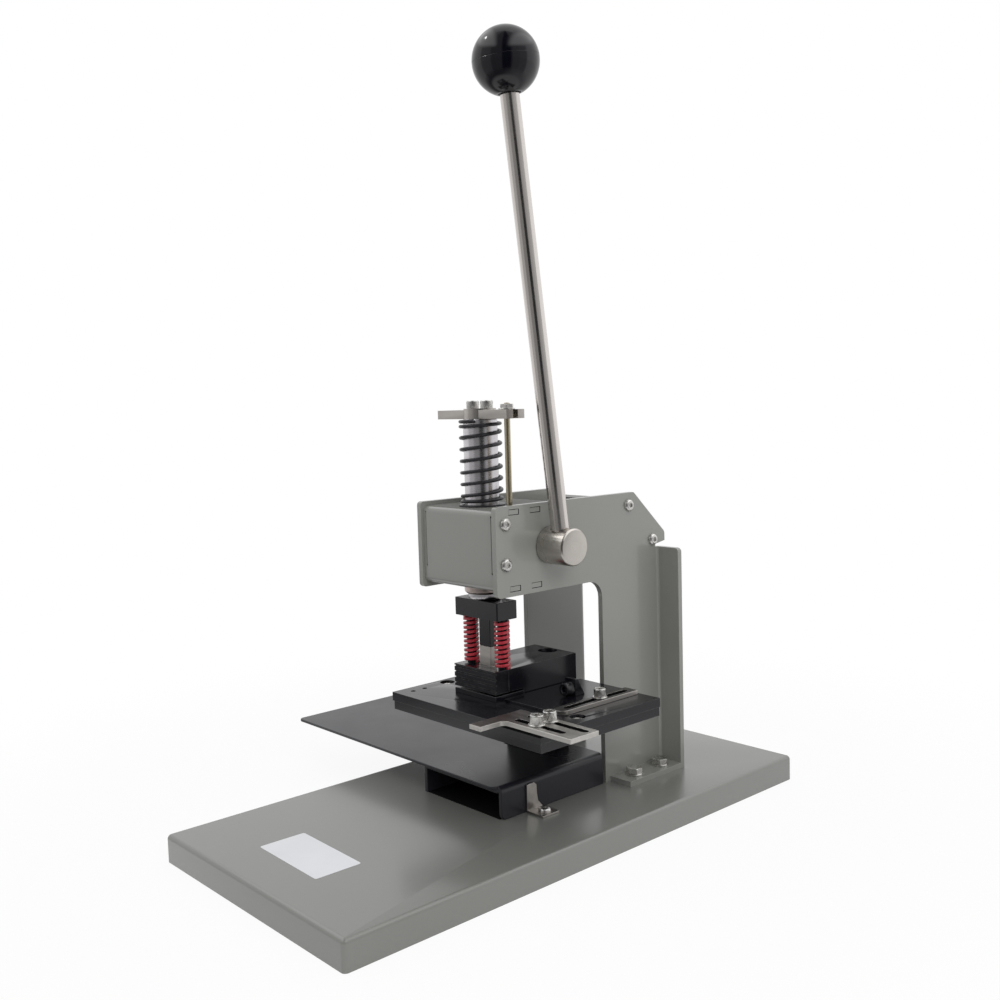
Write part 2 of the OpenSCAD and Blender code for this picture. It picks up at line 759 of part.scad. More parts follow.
module block_body() {
    low = die_top + insert_t + throat_h;
    color(black_oxide) difference() {
        block([-block_w / 2, block_split, die_top], [block_w / 2, block_back, block_top]);
        block([-block_w, block_split - 1, die_top - 1], [block_w, throat_back, low]);
        punch_way(die_top, block_top + 1);
        post(0, block_hole_y, die_top - 1, block_top + 1, 4.3);
        post(0, block_hole_y, block_top - 9, block_top + 1, 6.9);
    }
}

module block_screw() {
    color(black_oxide) cap_screw(0, block_hole_y, block_top - 9, 6.4, 8, 4, 33);
}

// Thin plate beside the die block that the card slides on
module guide_bed() {
    color(black_oxide) block([22, 182.5, die_top], [stop_x - 6, 254.5, die_top + 1.5]);
}

// Small block with a sloping back that a screw holds down beside the die block
module clamp_block() {
    z0 = die_top + 1.5;
    color(black_oxide) difference() {
        translate([clamp_x - 4.8, 0, 0]) rotate([90, 0, 90]) linear_extrude(9.6)
            polygon([[218.2, z0], [227.2, z0], [220.8, z0 + 11.4], [218.2, z0 + 11.6]]);
        translate([clamp_x, 217, z0 + 4.8]) rotate([-90, 0, 0]) cylinder(r = 2, h = 5.8, $fn = 48);
    }
}

module clamp_screw() {
    color(steel) translate([clamp_x, 218.2, die_top + 6.3]) rotate([90, 0, 0])
        cap_screw(0, 0, 0, 4.3, 6.4, 2, 4.4);
}

module guide_support() {
    color(steel) difference() {
        block([64, 141.5, die_top], [98, 167.5, die_top + guide_t]);
        for (y = guide_screw_y) post(guide_screw_x, y, die_top - 1, die_top + guide_t + 1, 2);
    }
}

// Adjustable side stop: a slotted plate with a finger that the card's side rests on
module side_guide() {
    color(steel) difference() {
        union() {
            block([60, 138.5, guide_low], [126, 162, guide_top]);
            block([60, 119.5, guide_low], [70, 139.5, guide_top]);
            difference() {
                block([69, 134.5, guide_low], [74, 139.5, guide_top]);
                post(74, 134.5, guide_low - 1, guide_top + 1, 4);
            }
        }
        for (i = [0:1]) slot_cut([76, guide_screw_y[i]], [113 + 8 * i, guide_screw_y[i]], 2.2,
            guide_low - 1, guide_top + 1);
    }
}

// Clamping screws with washers, through the slots of the side guide
module guide_screws() {
    color(polished) for (y = guide_screw_y) {
        cap_screw(guide_screw_x, y, guide_top + 1.1, 4.15, 5.6, 2, guide_top + 1.1 - die_top);
        difference() {
            post(guide_screw_x, y, guide_top + 0.05, guide_top + 1.1, 5.2);
            post(guide_screw_x, y, guide_top - 1, guide_top + 2, 2);
        }
    }
}

// Adjustable bar that stops the card's far corner, rounded at its front end
module depth_stop() {
    z0 = die_top + running;
    z1 = z0 + guide_t;
    color(steel) difference() {
        union() {
            block([stop_x - 5.5, stop_front, z0], [stop_x + 5.5, 253.5, z1]);
            post(stop_x, stop_front, z0, z1, 5.5);
        }
        slot_cut([stop_x, 191.5], [stop_x, 246], 2.2, z0 - 1, z1 + 1);
    }
}

module depth_stop_screw() {
    z = die_top + guide_t + 0.1;
    color(polished) {
        cap_screw(stop_x, 222.4, z + 1, 3.9, 5.4, 2, z + 1 - die_top);
        difference() {
            post(stop_x, 222.4, z, z + 1, 4.9);
            post(stop_x, 222.4, z - 1, z + 2, 2);
        }
    }
}

// Sheet tray under the die: its right side is folded down on a channel that carries it
module chip_tray() {
    r = 4;
    right = plate_out;
    wall_t = tray_t + 1;
    wall_front = tray_front + r;
    under = tray_top - tray_t;
    back = [[right - r, tray_back], [ped_x[1] + 1.5, tray_back], [ped_x[1] + 1.5, ped_y - 1.5],
        [ped_x[0] - 1.5, ped_y - 1.5], [ped_x[0] - 1.5, tray_back]];
    sheet = concat(arc(right - 2 * r, wall_front, r, 270, 360), back,
        [[-tray_left, tray_back]], arc(-tray_left + 4, tray_front + 4, 4, 180, 270));
    web = concat([[-right, wall_front], [right - r, wall_front]], back, [[-right, tray_back]]);
    color(tray_black) {
        translate([0, 0, under]) linear_extrude(tray_t) polygon(sheet);
        translate([0, 0, under - wall_t]) linear_extrude(wall_t) polygon(web);
        translate([right - r, tray_back, tray_top - r]) rotate([90, 0, 0]) intersection() {
            cylinder(r = r, h = tray_back - wall_front, $fn = 48);
            cube([10, 10, 200]);
        }
        translate([right - wall_t, 0, 0]) rotate([90, 0, 90]) linear_extrude(wall_t)
            polygon(concat(arc(wall_front + 4, base_h + 4, 4, 180, 270),
                [[tray_back, base_h], [tray_back, tray_top - r], [wall_front, tray_top - r]]));
        block([-right, wall_front, base_h], [-right + wall_t, tray_back, under - wall_t]);
    }
}

// Angle that holds the tray's right side to the base
module tray_bracket() {
    color(steel) difference() {
        union() {
            translate([plate_out, 0, 0]) rotate([90, 0, 90]) linear_extrude(1.5)
                polygon([[182.5, base_h], [197.5, base_h], [195.5, 20.5], [192.5, 24], [191.6, 29],
                    [191.2, 35], [189, 37], [183.5, 37], [182.5, 36]]);
            block([plate_out, 182.5, base_h], [56, 197.5, base_h + 1.5]);
        }
        post(49.5, 190.3, base_h - 1, base_h + 3, 2);
    }
}

module bracket_screw() {
    color(steel) translate([49.5, 190.3, base_h + 1.5]) difference() {
        rotate_extrude($fn = 48) polygon(concat([[0, -8], [2, -8], [2, 0], [4.3, 0], [4.3, 0.9]],
            arc(0, -2.9, 5.7, 41, 90, 5)));
        translate([0, 0, 1.3]) cylinder(r = 1.7, h = 2, $fn = 6);
    }
}

base_plate();
side_plate_left();
side_plate_right();
arm_box();
rear_cover();
guide_block();
ram_bush_upper();
ram_bush_lower();
shaft_bush_left();
shaft_bush_right();
frame_screws_left();
frame_screws_right();
foot_bolts();
foot_nuts();
spring_seat();
main_spring();
ram();
ram_cap();
cap_screws();
guide_rod();
guide_rod_nut();
punch_head();
punch_holder();
punch();
spring_pilots();
punch_spring_left();
punch_spring_right();
pinion_shaft();
pinion();
retaining_ring();
lever_hub();
lever_rod();
ball_knob();
pedestal();
pedestal_bolts();
sub_plate();
die_plate();
die_plate_screws();
die_insert();
stripper_block();
block_body();
block_screw();
guide_bed();
clamp_block();
clamp_screw();
guide_support();
side_guide();
guide_screws();
depth_stop();
depth_stop_screw();
chip_tray();
tray_bracket();
bracket_screw();
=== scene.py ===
"""Looks of the slot punching machine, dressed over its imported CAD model.

The machine's sizes and places are in millimetres, which MM turns into Blender's metres. The room,
the camera and the lamps are in metres.
"""
from functools import partial
import json
import math

import bmesh
import bpy
from mathutils import Matrix, Vector

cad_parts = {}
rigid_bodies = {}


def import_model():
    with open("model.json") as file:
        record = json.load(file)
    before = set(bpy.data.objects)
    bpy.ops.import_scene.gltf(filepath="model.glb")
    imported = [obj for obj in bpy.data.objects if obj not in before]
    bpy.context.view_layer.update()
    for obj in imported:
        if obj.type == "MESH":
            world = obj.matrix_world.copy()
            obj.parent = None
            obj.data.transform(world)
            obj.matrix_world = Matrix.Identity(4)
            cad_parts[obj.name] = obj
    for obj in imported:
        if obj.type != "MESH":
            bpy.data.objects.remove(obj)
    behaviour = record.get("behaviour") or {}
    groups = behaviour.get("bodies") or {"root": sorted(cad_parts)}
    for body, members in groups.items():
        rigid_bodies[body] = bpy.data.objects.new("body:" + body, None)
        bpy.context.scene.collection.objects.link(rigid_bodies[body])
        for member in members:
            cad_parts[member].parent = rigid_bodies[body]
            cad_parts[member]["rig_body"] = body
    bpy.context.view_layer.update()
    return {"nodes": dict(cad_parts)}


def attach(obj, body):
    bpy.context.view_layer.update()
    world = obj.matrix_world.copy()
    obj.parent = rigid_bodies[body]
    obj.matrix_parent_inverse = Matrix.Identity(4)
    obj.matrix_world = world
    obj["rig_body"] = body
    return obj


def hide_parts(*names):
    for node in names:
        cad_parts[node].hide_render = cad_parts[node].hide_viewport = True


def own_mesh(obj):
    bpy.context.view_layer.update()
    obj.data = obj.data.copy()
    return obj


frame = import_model()

MM = 0.001
WHITE = (1, 1, 1, 1)
FLOAT, VECTOR = "NodeSocketFloat", "NodeSocketVector"

# Sizes and places that the CAD source has too
BASE_TOP = 18
PLATE_OUT = 40
PLATE_T = 4
TAB_Y = (174.5, 193.5)
TAB_Z = (165.4, 214.8)
TAB_W = 8.5
TAB_T = 3
BOX_TOP = 217.8
RAM_Y = 187.5
SPRING_SEAT_Z = 219
CAP_Z = 275.8
CAP_TOP = CAP_Z + 5.9
SHAFT = (52.2, 209.5, 192)
LEVER_LEAN = math.radians(7.3)
HEAD_Z = 142.7
DIE_TOP = 89.2
GUIDE_TOP = 95.25
BLOCK_TOP = 109.3
BLOCK_W = 41.6
STRIPPER_FRONT = 175.8
STRIPPER_LOW = 94.1

# Places of the side plates' screws along Y and Z
FRAME_SCREWS = ((170.8, 183), (170.8, 209), (288.7, 211.5), (313.9, 184.7))

# Black pins in the red springs, and the ball's middle along the lever from its shaft
PIN_X = 15.7
PIN_R = 3.1
PIN_BORE_LOW = 94.4
BALL_UP = 302.1

# Boxes round the slots of the side guide and the depth stop, by their lowest and highest corner.
# The slots' upright walls in them are painted black: painted shade.
GUIDE_SLOTS = ((73, 142, 80), (123.5, 159, 110))
STOP_SLOT = ((68, 189, 80), (73.5, 248.5, 110))

# Studio that gloss sees, by azimuths from +X in degrees. Each panel has its azimuth, half width,
# softness and brightness. The ceiling is bright to both sides along its azimuth, with a dark lane
# between them, and the near floor is brightest towards its own azimuth.
PANELS = ((150, 40, 14, 0.9), (205, 18, 10, 0.85), (242, 22, 8, 0.48), (281, 22, 5, 0.26),
          (-5, 9, 14, 0.40), (20, 12, 12, 0.48), (70, 32, 14, 1.0))
ROOM_DARK = 0.03
CEILING_AZIMUTH = 37
FLOOR_AZIMUTH = 42

# Camera fitted to the photograph, with its angles in degrees
CAMERA_PLACE = (0.5561064, -0.2967712, 0.2866705)
CAMERA_AZIMUTH = 137.849422
CAMERA_TILT = -4.928229
CAMERA_ROLL = -1.604475


def metres(place):
    """A place in millimetres as a tuple in metres."""
    return tuple(value * MM for value in place)


def heading(azimuth):
    """Level direction at an azimuth in degrees from +X."""
    turn = math.radians(azimuth)
    return (math.cos(turn), math.sin(turn), 0)


# nodes

def add(tree, kind, inputs=None, **settings):
    """A node with its settings and inputs; an input is a value or another node's output."""
    node = tree.nodes.new(kind)
    for key, value in settings.items():
        setattr(node, key, value)
    for key, value in (inputs or {}).items():
        if isinstance(value, bpy.types.NodeSocket):
            tree.links.new(value, node.inputs[key])
        else:
            node.inputs[key].default_value = value
    return node


def maths(tree, operation, *values):
    """Result of an operation on numbers or their sockets."""
    return add(tree, "ShaderNodeMath", dict(enumerate(values)), operation=operation).outputs[0]


def vector_maths(tree, operation, *values):
    """Result of an operation on vectors or their sockets, which for some is a number."""
    node = add(tree, "ShaderNodeVectorMath", dict(enumerate(values)), operation=operation)
    number = operation in ("DOT_PRODUCT", "LENGTH", "DISTANCE")
    return node.outputs["Value" if number else "Vector"]


def ramp(tree, value, start=0.0, end=1.0, low=0.0, high=1.0, soft=False):
    """Number that goes from low to high as value goes from start to end, with soft ends if asked."""
    return add(tree, "ShaderNodeMapRange", {"Value": value, "From Min": start, "From Max": end,
                                            "To Min": low, "To Max": high},
               interpolation_type="SMOOTHSTEP" if soft else "LINEAR").outputs[0]


def noise(tree, place, scale, detail, roughness=0.5):
    """Noise value at a place."""
    return add(tree, "ShaderNodeTexNoise", {"Vector": place, "Scale": scale, "Detail": detail,
                                            "Roughness": roughness}).outputs[0]


def object_place(tree):
    """Place on the piece, in metres."""
    return add(tree, "ShaderNodeTexCoord").outputs["Object"]


def part_of(tree, vector, axis):
    """A vector's part along X, Y or Z."""
    return add(tree, "ShaderNodeSeparateXYZ", {0: vector}).outputs[axis]


def any_ray(tree, *kinds):
    """1 for the given kinds of ray and 0 for the rest."""
    path = add(tree, "ShaderNodeLightPath")
    chosen = path.outputs[f"Is {kinds[0]} Ray"]
    for kind in kinds[1:]:
        chosen = maths(tree, "MAXIMUM", chosen, path.outputs[f"Is {kind} Ray"])
    return chosen


def blank_material(name):
    """Material with an empty node tree."""
    material = bpy.data.materials.new(name)
    material.use_nodes = True
    material.node_tree.nodes.clear()
    return material


# shared surface effects

def group(name, inputs, outputs):
    """Empty shader group with named inputs and outputs; returns its tree, input and output node."""
    tree = bpy.data.node_groups.new(name, "ShaderNodeTree")
    for label, kind, value in inputs:
        socket = tree.interface.new_socket(label, in_out="INPUT", socket_type=kind)
        if value is not None:
            socket.default_value = value
    for label, kind in outputs:
        tree.interface.new_socket(label, in_out="OUTPUT", socket_type=kind)
    return tree, tree.nodes.new("NodeGroupInput").outputs, tree.nodes.new("NodeGroupOutput").inputs


def make_grain():
    """Fine pebbling of powder coat, moulded plastic and blackened steel, and their wide patches."""
    tree, given, gives = group("grain", [("Size", FLOAT, 0.001), ("Patch Size", FLOAT, 0.05)],
                               [("Height", FLOAT), ("Patches", FLOAT)])
    place = object_place(tree)
    for size, detail, result in (("Size", 2.0, "Height"), ("Patch Size", 3.0, "Patches")):
        scale = maths(tree, "DIVIDE", 1.0, given[size])
        tree.links.new(noise(tree, place, scale, detail, roughness=0.55), gives[result])
    return tree


def make_lines():
    """Fine lines that grinding, drawing or turning leaves; Stretch is lines per metre on each axis."""
    tree, given, gives = group("machined_lines", [("Place", VECTOR, None),
                                                  ("Stretch", VECTOR, (900, 900, 20))],
                               [("Lines", FLOAT), ("Streaks", FLOAT)])
    fine = vector_maths(tree, "MULTIPLY", given["Place"], given["Stretch"])
    wide = vector_maths(tree, "MULTIPLY", fine, (0.16, 0.16, 0.16))
    lines = noise(tree, fine, scale=2.2, detail=3.0, roughness=0.7)
    streaks = noise(tree, wide, scale=1.0, detail=2.0, roughness=0.6)
    tree.links.new(lines, gives["Lines"])
    tree.links.new(streaks, gives["Streaks"])
    return tree


def make_edge():
    """Mask of edges made lighter, broken up by noise: partly wear from handling, partly a painted
    highlight along the edges.
    """
    tree, given, gives = group("rubbed_edge", [("Radius", FLOAT, 0.0006), ("Amount", FLOAT, 1.0)],
                               [("Mask", FLOAT)])
    rounded = add(tree, "ShaderNodeBevel", {"Radius": given["Radius"]}, samples=6)
    sharp = add(tree, "ShaderNodeNewGeometry")
    same = vector_maths(tree, "DOT_PRODUCT", rounded.outputs[0], sharp.outputs["Normal"])
    edge = ramp(tree, same, start=0.99, end=0.86)
    specks = noise(tree, object_place(tree), scale=260.0, detail=3.0)
    lightened = maths(tree, "MULTIPLY", edge, ramp(tree, specks, start=0.35, end=0.62))
    tree.links.new(maths(tree, "MULTIPLY", lightened, given["Amount"]), gives["Mask"])
    return tree


def make_turned_place():
    """Place measured along and away from an axis through Centre, for marks that run round it."""
    tree, given, gives = group("turned_place", [("Centre", VECTOR, None), ("Axis", VECTOR, None)],
                               [("Place", VECTOR)])
    arm = vector_maths(tree, "SUBTRACT", object_place(tree), given["Centre"])
    along = vector_maths(tree, "DOT_PRODUCT", arm, given["Axis"])
    on_axis = add(tree, "ShaderNodeVectorMath", {0: given["Axis"], "Scale": along},
                  operation="SCALE")
    off = vector_maths(tree, "DISTANCE", arm, on_axis.outputs[0])
    both = add(tree, "ShaderNodeCombineXYZ", {0: off, 2: along})
    tree.links.new(both.outputs[0], gives["Place"])
    return tree


def make_panels():
    """Brightness of the studio that gloss sees in a direction: dark, with soft upright panels."""
    tree, given, gives = group("studio_panels", [("Way", VECTOR, None)], [("Level", FLOAT)])
    flat = vector_maths(tree, "MULTIPLY", given["Way"], (1, 1, 0))
    unit = vector_maths(tree, "NORMALIZE", flat)
    level = ROOM_DARK
    for azimuth, half, softness, bright in PANELS:
        near = vector_maths(tree, "DOT_PRODUCT", unit, heading(azimuth))
        panel = ramp(tree, near, start=math.cos(math.radians(half + softness)),
                     end=math.cos(math.radians(half)), high=bright, soft=True)
        level = maths(tree, "MAXIMUM", panel, level)
    tree.links.new(level, gives["Level"])
    return tree


EFFECTS = {"grain": make_grain(), "lines": make_lines(), "edge": make_edge(),
           "turned": make_turned_place(), "panels": make_panels()}


def effect(tree, name, **values):
    """Outputs of a shared effect that is placed in a tree with its own values."""
    node = tree.nodes.new("ShaderNodeGroup")
    node.node_tree = EFFECTS[name]
    for key, value in values.items():
        socket = node.inputs[key.replace("_", " ")]
        if isinstance(value, bpy.types.NodeSocket):
            tree.links.new(value, socket)
        else:
            socket.default_value = value
    return node.outputs


# finishes

def shade(colour, factor=1.0):
    """A colour made darker or lighter, with its alpha."""
    red, green, blue = colour
    return (red * factor, green * factor, blue * factor, 1)


def between(tree, factor, low, high):
    """Number between low and high, from a noise value."""
    return ramp(tree, factor, start=0.3, end=0.7, low=low, high=high)


def tint(tree, factor, under, over):
    """Colour under, with colour over laid on it where factor is 1; either may be a socket."""
    mix = add(tree, "ShaderNodeMix", data_type="RGBA")
    tree.links.new(factor, mix.inputs["Factor"])
    for key, value in (("A", under), ("B", over)):
        socket = [s for s in mix.inputs if s.name == key and s.type == "RGBA"][0]
        if isinstance(value, bpy.types.NodeSocket):
            tree.links.new(value, socket)
        else:
            socket.default_value = value
    return [s for s in mix.outputs if s.type == "RGBA"][0]


def patchy(tree, factor, colour, vary):
    """Colour that is darker and lighter by the share vary, from a noise value."""
    spread = ramp(tree, factor, start=0.35, end=0.65)
    return tint(tree, spread, shade(colour, 1 - vary), shade(colour, 1 + vary))


def finish_with(tree, colour, roughness, height, depth, **plain):
    """Principled surface; colour and roughness may be sockets, and plain holds its set values."""
    bump = add(tree, "ShaderNodeBump", {"Height": height, "Distance": depth * MM,
                                        "Strength": 1.0})
    surface = add(tree, "ShaderNodeBsdfPrincipled", {
        "Base Color": colour, "Roughness": roughness, "Normal": bump.outputs[0],
        **{key.replace("_", " "): value for key, value in plain.items()}})
    add(tree, "ShaderNodeOutputMaterial", {"Surface": surface.outputs[0]})


def coated(name, colour, wear_highlight_colour, grain_size, depth, roughness, wear_highlight_amount, vary=0.045, **plain):
    """Paint, powder coat, black oxide or plastic: pebbled, patchy, and lighter at its edges, partly
    from wear and partly as a painted highlight.
    """
    material = blank_material(name)
    tree = material.node_tree
    grain = effect(tree, "grain", Size=grain_size * MM, Patch_Size=60 * MM)
    # Edges lighten by the share given: partly real wear, partly a painted highlight.
    mask = effect(tree, "edge", Radius=0.7 * MM, Amount=wear_highlight_amount)["Mask"]
    final = tint(tree, mask, patchy(tree, grain["Patches"], colour, vary), shade(wear_highlight_colour))
    gloss = between(tree, grain["Patches"], roughness - vary, roughness + vary)
    finish_with(tree, final, gloss, grain["Height"], depth, **plain)
    return material


def machined(name, colour, stretch, roughness, depth, centre=None, axis=None, vary=0.08,
             top=None, lightened=None):
    """Bare metal with the lines of its drawing, grinding or turning.

    Turned lines run round the axis through centre. Upward faces take the darker colour top as
    painted shade, which fades to a quarter between the two places along X given last.
    """
    material = blank_material(name)
    tree = material.node_tree
    if centre:
        place = effect(tree, "turned", Centre=metres(centre), Axis=axis)["Place"]
    else:
        place = object_place(tree)
    lines = effect(tree, "lines", Place=place, Stretch=stretch)
    grain = effect(tree, "grain", Size=0.6 * MM, Patch_Size=20 * MM)
    metal = patchy(tree, lines["Streaks"], colour, vary)
    # Upward faces are painted darker as painted shade, which fades along X.
    if top:
        normal = add(tree, "ShaderNodeNewGeometry").outputs["Normal"]
        kept = ramp(tree, part_of(tree, normal, "Z"), start=0.8, end=0.98)
        if lightened:
            left = ramp(tree, part_of(tree, object_place(tree), "X"), start=lightened[0] * MM,
                        end=lightened[1] * MM, low=1.0, high=0.25, soft=True)
            kept = maths(tree, "MULTIPLY", kept, left)
        metal = tint(tree, kept, metal, patchy(tree, lines["Streaks"], top, vary=0.3))
    gloss = between(tree, lines["Lines"], roughness - 0.05, roughness + 0.08)
    handled = maths(tree, "ADD", gloss, between(tree, grain["Patches"], -0.03, 0.04))
    finish_with(tree, metal, handled, lines["Lines"], depth, Metallic=1.0)
    return material


ALONG_LEVER = (0, -math.sin(LEVER_LEAN), math.cos(LEVER_LEAN))
# In each coated finish, the lighter colour at the edges is partly wear and partly a painted highlight.
FINISHES = {
    "paint": coated("grey_green_powder_coat", (0.218, 0.221, 0.204), wear_highlight_colour=(0.40, 0.40, 0.38),
                    grain_size=1.1, depth=0.004, roughness=0.30, wear_highlight_amount=0.25, vary=0.012,
                    Coat_Weight=0.6, Coat_Roughness=0.13),
    # Darker, duller paint for the arm box's upward faces: painted shade.
    "shaded_top_paint": coated("matt_powder_coat", (0.175, 0.177, 0.165), wear_highlight_colour=(0.30, 0.30, 0.28),
                         grain_size=1.1, depth=0.003, roughness=0.6, wear_highlight_amount=0.25, vary=0.012,
                         Specular_IOR_Level=0.08),
    "base_paint": coated("base_powder_coat", (0.176, 0.179, 0.165), wear_highlight_colour=(0.40, 0.40, 0.38),
                         grain_size=1.1, depth=0.003, roughness=0.34, wear_highlight_amount=0.25, vary=0.012,
                         Coat_Weight=0.75, Coat_Roughness=0.2),
    "tray_black": coated("black_powder_coat", (0.017, 0.017, 0.022), wear_highlight_colour=(0.10, 0.10, 0.10),
                         grain_size=0.9, depth=0.008, roughness=0.30, wear_highlight_amount=0.4,
                         Specular_IOR_Level=0.42),
    "oxide": coated("black_oxide", (0.0055, 0.0055, 0.0080), wear_highlight_colour=(0.16, 0.16, 0.16),
                    grain_size=0.7, depth=0.004, roughness=0.19, wear_highlight_amount=0.45,
                    Specular_IOR_Level=0.45),
    "ball": coated("polished_black_plastic", (0.0016, 0.0016, 0.0042), wear_highlight_colour=(0.02, 0.02, 0.02),
                   grain_size=4, depth=0.003, roughness=0.12, wear_highlight_amount=0.0),
    "red": coated("red_lacquer", (0.36, 0.016, 0.030), wear_highlight_colour=(0.55, 0.16, 0.17),
                  grain_size=0.8, depth=0.004, roughness=0.26, wear_highlight_amount=0.5,
                  Coat_Weight=0.5, Coat_Roughness=0.12),
    "wire": coated("oiled_spring_wire", (0.030, 0.030, 0.034), wear_highlight_colour=(0.12, 0.12, 0.12),
                   grain_size=0.8, depth=0.003, roughness=0.32, wear_highlight_amount=0.3, Metallic=0.5),
    # Flat black with little gloss that stands for deep shade: painted shade.
    "shade_black": coated("black_lining", (0.004, 0.004, 0.004), wear_highlight_colour=(0.01, 0.01, 0.01),
                     grain_size=1.2, depth=0.02, roughness=0.85, wear_highlight_amount=0.0,
                     Specular_IOR_Level=0.1),
    "label": coated("white_label", (0.78, 0.79, 0.82), wear_highlight_colour=(0.80, 0.80, 0.82),
                    grain_size=1.2, depth=0.002, roughness=0.38, wear_highlight_amount=0.0),
    "nickel": machined("drawn_nickel", (0.70, 0.66, 0.63), stretch=(700, 700, 9),
                       roughness=0.17, depth=0.0012, centre=SHAFT, axis=ALONG_LEVER),
    "hub": machined("satin_nickel", (0.55, 0.52, 0.485), stretch=(220, 220, 260),
                    roughness=0.28, depth=0.00008, centre=SHAFT, axis=(1, 0, 0), vary=0.02),
    "ground": machined("ground_steel", (0.47, 0.445, 0.42), stretch=(30, 1100, 1100),
                       roughness=0.33, depth=0.0022),
    # The guide's and the stop's upward faces are painted darker: painted shade.
    "guide": machined("ground_guide_steel", (0.62, 0.60, 0.57), stretch=(30, 1100, 1100),
                      roughness=0.42, depth=0.0022, top=(0.15, 0.142, 0.135), lightened=(80, 100)),
    "stop": machined("ground_stop_steel", (0.50, 0.475, 0.45), stretch=(1100, 30, 1100),
                     roughness=0.33, depth=0.0022, top=(0.12, 0.115, 0.11)),
    "polished": machined("polished_steel", (0.62, 0.60, 0.62), stretch=(500, 500, 900),
                         roughness=0.25, depth=0.0008, centre=(0, RAM_Y, 0), axis=(0, 0, 1)),
    "bronze": machined("bearing_bronze", (0.50, 0.42, 0.39), stretch=(500, 500, 1300),
                       roughness=0.26, depth=0.0015, centre=(0, RAM_Y, 0), axis=(0, 0, 1)),
    "zinc": machined("zinc_plate", (0.66, 0.65, 0.63), stretch=(300, 300, 300),
                     roughness=0.27, depth=0.0012),
    "yellow_zinc": machined("yellow_zinc_plate", (0.50, 0.44, 0.31), stretch=(700, 700, 60),
                            roughness=0.22, depth=0.001),
}


# rings and lofts

def ring(height, radius, form="round", limit=1e3, sides=72):
    """Points in millimetres round the Z axis: round, knurled, or hex by its corner radius."""
    points = []
    for i in range(sides):
        turn = 2 * math.pi * i / sides
        reach = radius
        if form == "hex":
            reach *= math.cos(math.pi / 6) / math.cos(turn % (math.pi / 3) - math.pi / 6)
        elif form == "knurl":
            reach -= 0.16 * (i % 2)
        reach = min(reach, limit)
        points.append((reach * math.cos(turn), reach * math.sin(turn), height))
    return points


def post(x, y, radius, low, high):
    """Rings of an upright round post."""
    return [[(x + u, y + v, z) for u, v, z in ring(height, radius)] for height in (low, high)]


def block(low, high):
    """Rings of a block between its lowest and highest corner."""
    return [[(low[0], low[1], z), (high[0], low[1], z), (high[0], high[1], z), (low[0], high[1], z)]
            for z in (low[2], high[2])]


def lofted(name, *shells):
    """Mesh of closed shells in metres, each run through its rings of points in millimetres.

    A shell that ends on its first ring closes on itself, and any other is capped at both ends.
    """
    work = bmesh.new()
    for rings in shells:
        looped = rings[0] == rings[-1]
        loops = [[work.verts.new(Vector(p) * MM) for p in points]
                 for points in (rings[:-1] if looped else rings)]
        if looped:
            loops.append(loops[0])
        else:
            work.faces.new(loops[0])
            work.faces.new(loops[-1])
        for low, high in zip(loops, loops[1:]):
            for i in range(len(low)):
                work.faces.new((low[i - 1], low[i], high[i], high[i - 1]))
    bmesh.ops.recalc_face_normals(work, faces=work.faces)
    mesh = bpy.data.meshes.new(name)
    work.to_mesh(mesh)
    work.free()
    return mesh


# CAD solids with broken edges

SHARP = 32


def body_of(node):
    """Body that a CAD node rides on."""
    return frame["nodes"][node]["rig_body"]


def smooth(mesh, angle):
    """Shades a mesh smooth, apart from edges whose faces meet at more than angle in degrees."""
    mesh.shade_smooth()
    mesh.set_sharp_from_angle(angle=math.radians(angle))


def mesh_object(name, mesh):
    """Object of a mesh in the scene."""
    thing = bpy.data.objects.new(name, mesh)
    bpy.context.scene.collection.objects.link(thing)
    return thing


def settle(thing, body, node):
    """Lets a finished piece ride on its body and stand for its CAD node."""
    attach(thing, body)
    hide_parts(node)


def applied(thing):
    """The object with its modifiers worked into its mesh."""
    bpy.context.view_layer.update()
    seen = thing.evaluated_get(bpy.context.evaluated_depsgraph_get())
    mesh = bpy.data.meshes.new_from_object(seen)
    thing.modifiers.clear()
    old, thing.data = thing.data, mesh
    mesh.name = thing.name
    bpy.data.meshes.remove(old)
    return thing


def inside(box, point):
    """Whether a point is in a box, given by its lowest and highest corner."""
    return all(box[0][i] <= point[i] <= box[1][i] for i in range(3))


def carved(mesh, work):
    """Mesh with shapes added or cut away, each given by UNION or DIFFERENCE and its rings."""
    for operation, rings in work:
        tool = mesh_object("tool", lofted("tool", rings))
        piece = mesh_object("piece", mesh)
        cut = piece.modifiers.new("cut", "BOOLEAN")
        cut.operation, cut.solver, cut.object = operation, "EXACT", tool
        mesh = applied(piece).data
        bpy.data.objects.remove(piece)
        bpy.data.objects.remove(tool)
    return mesh


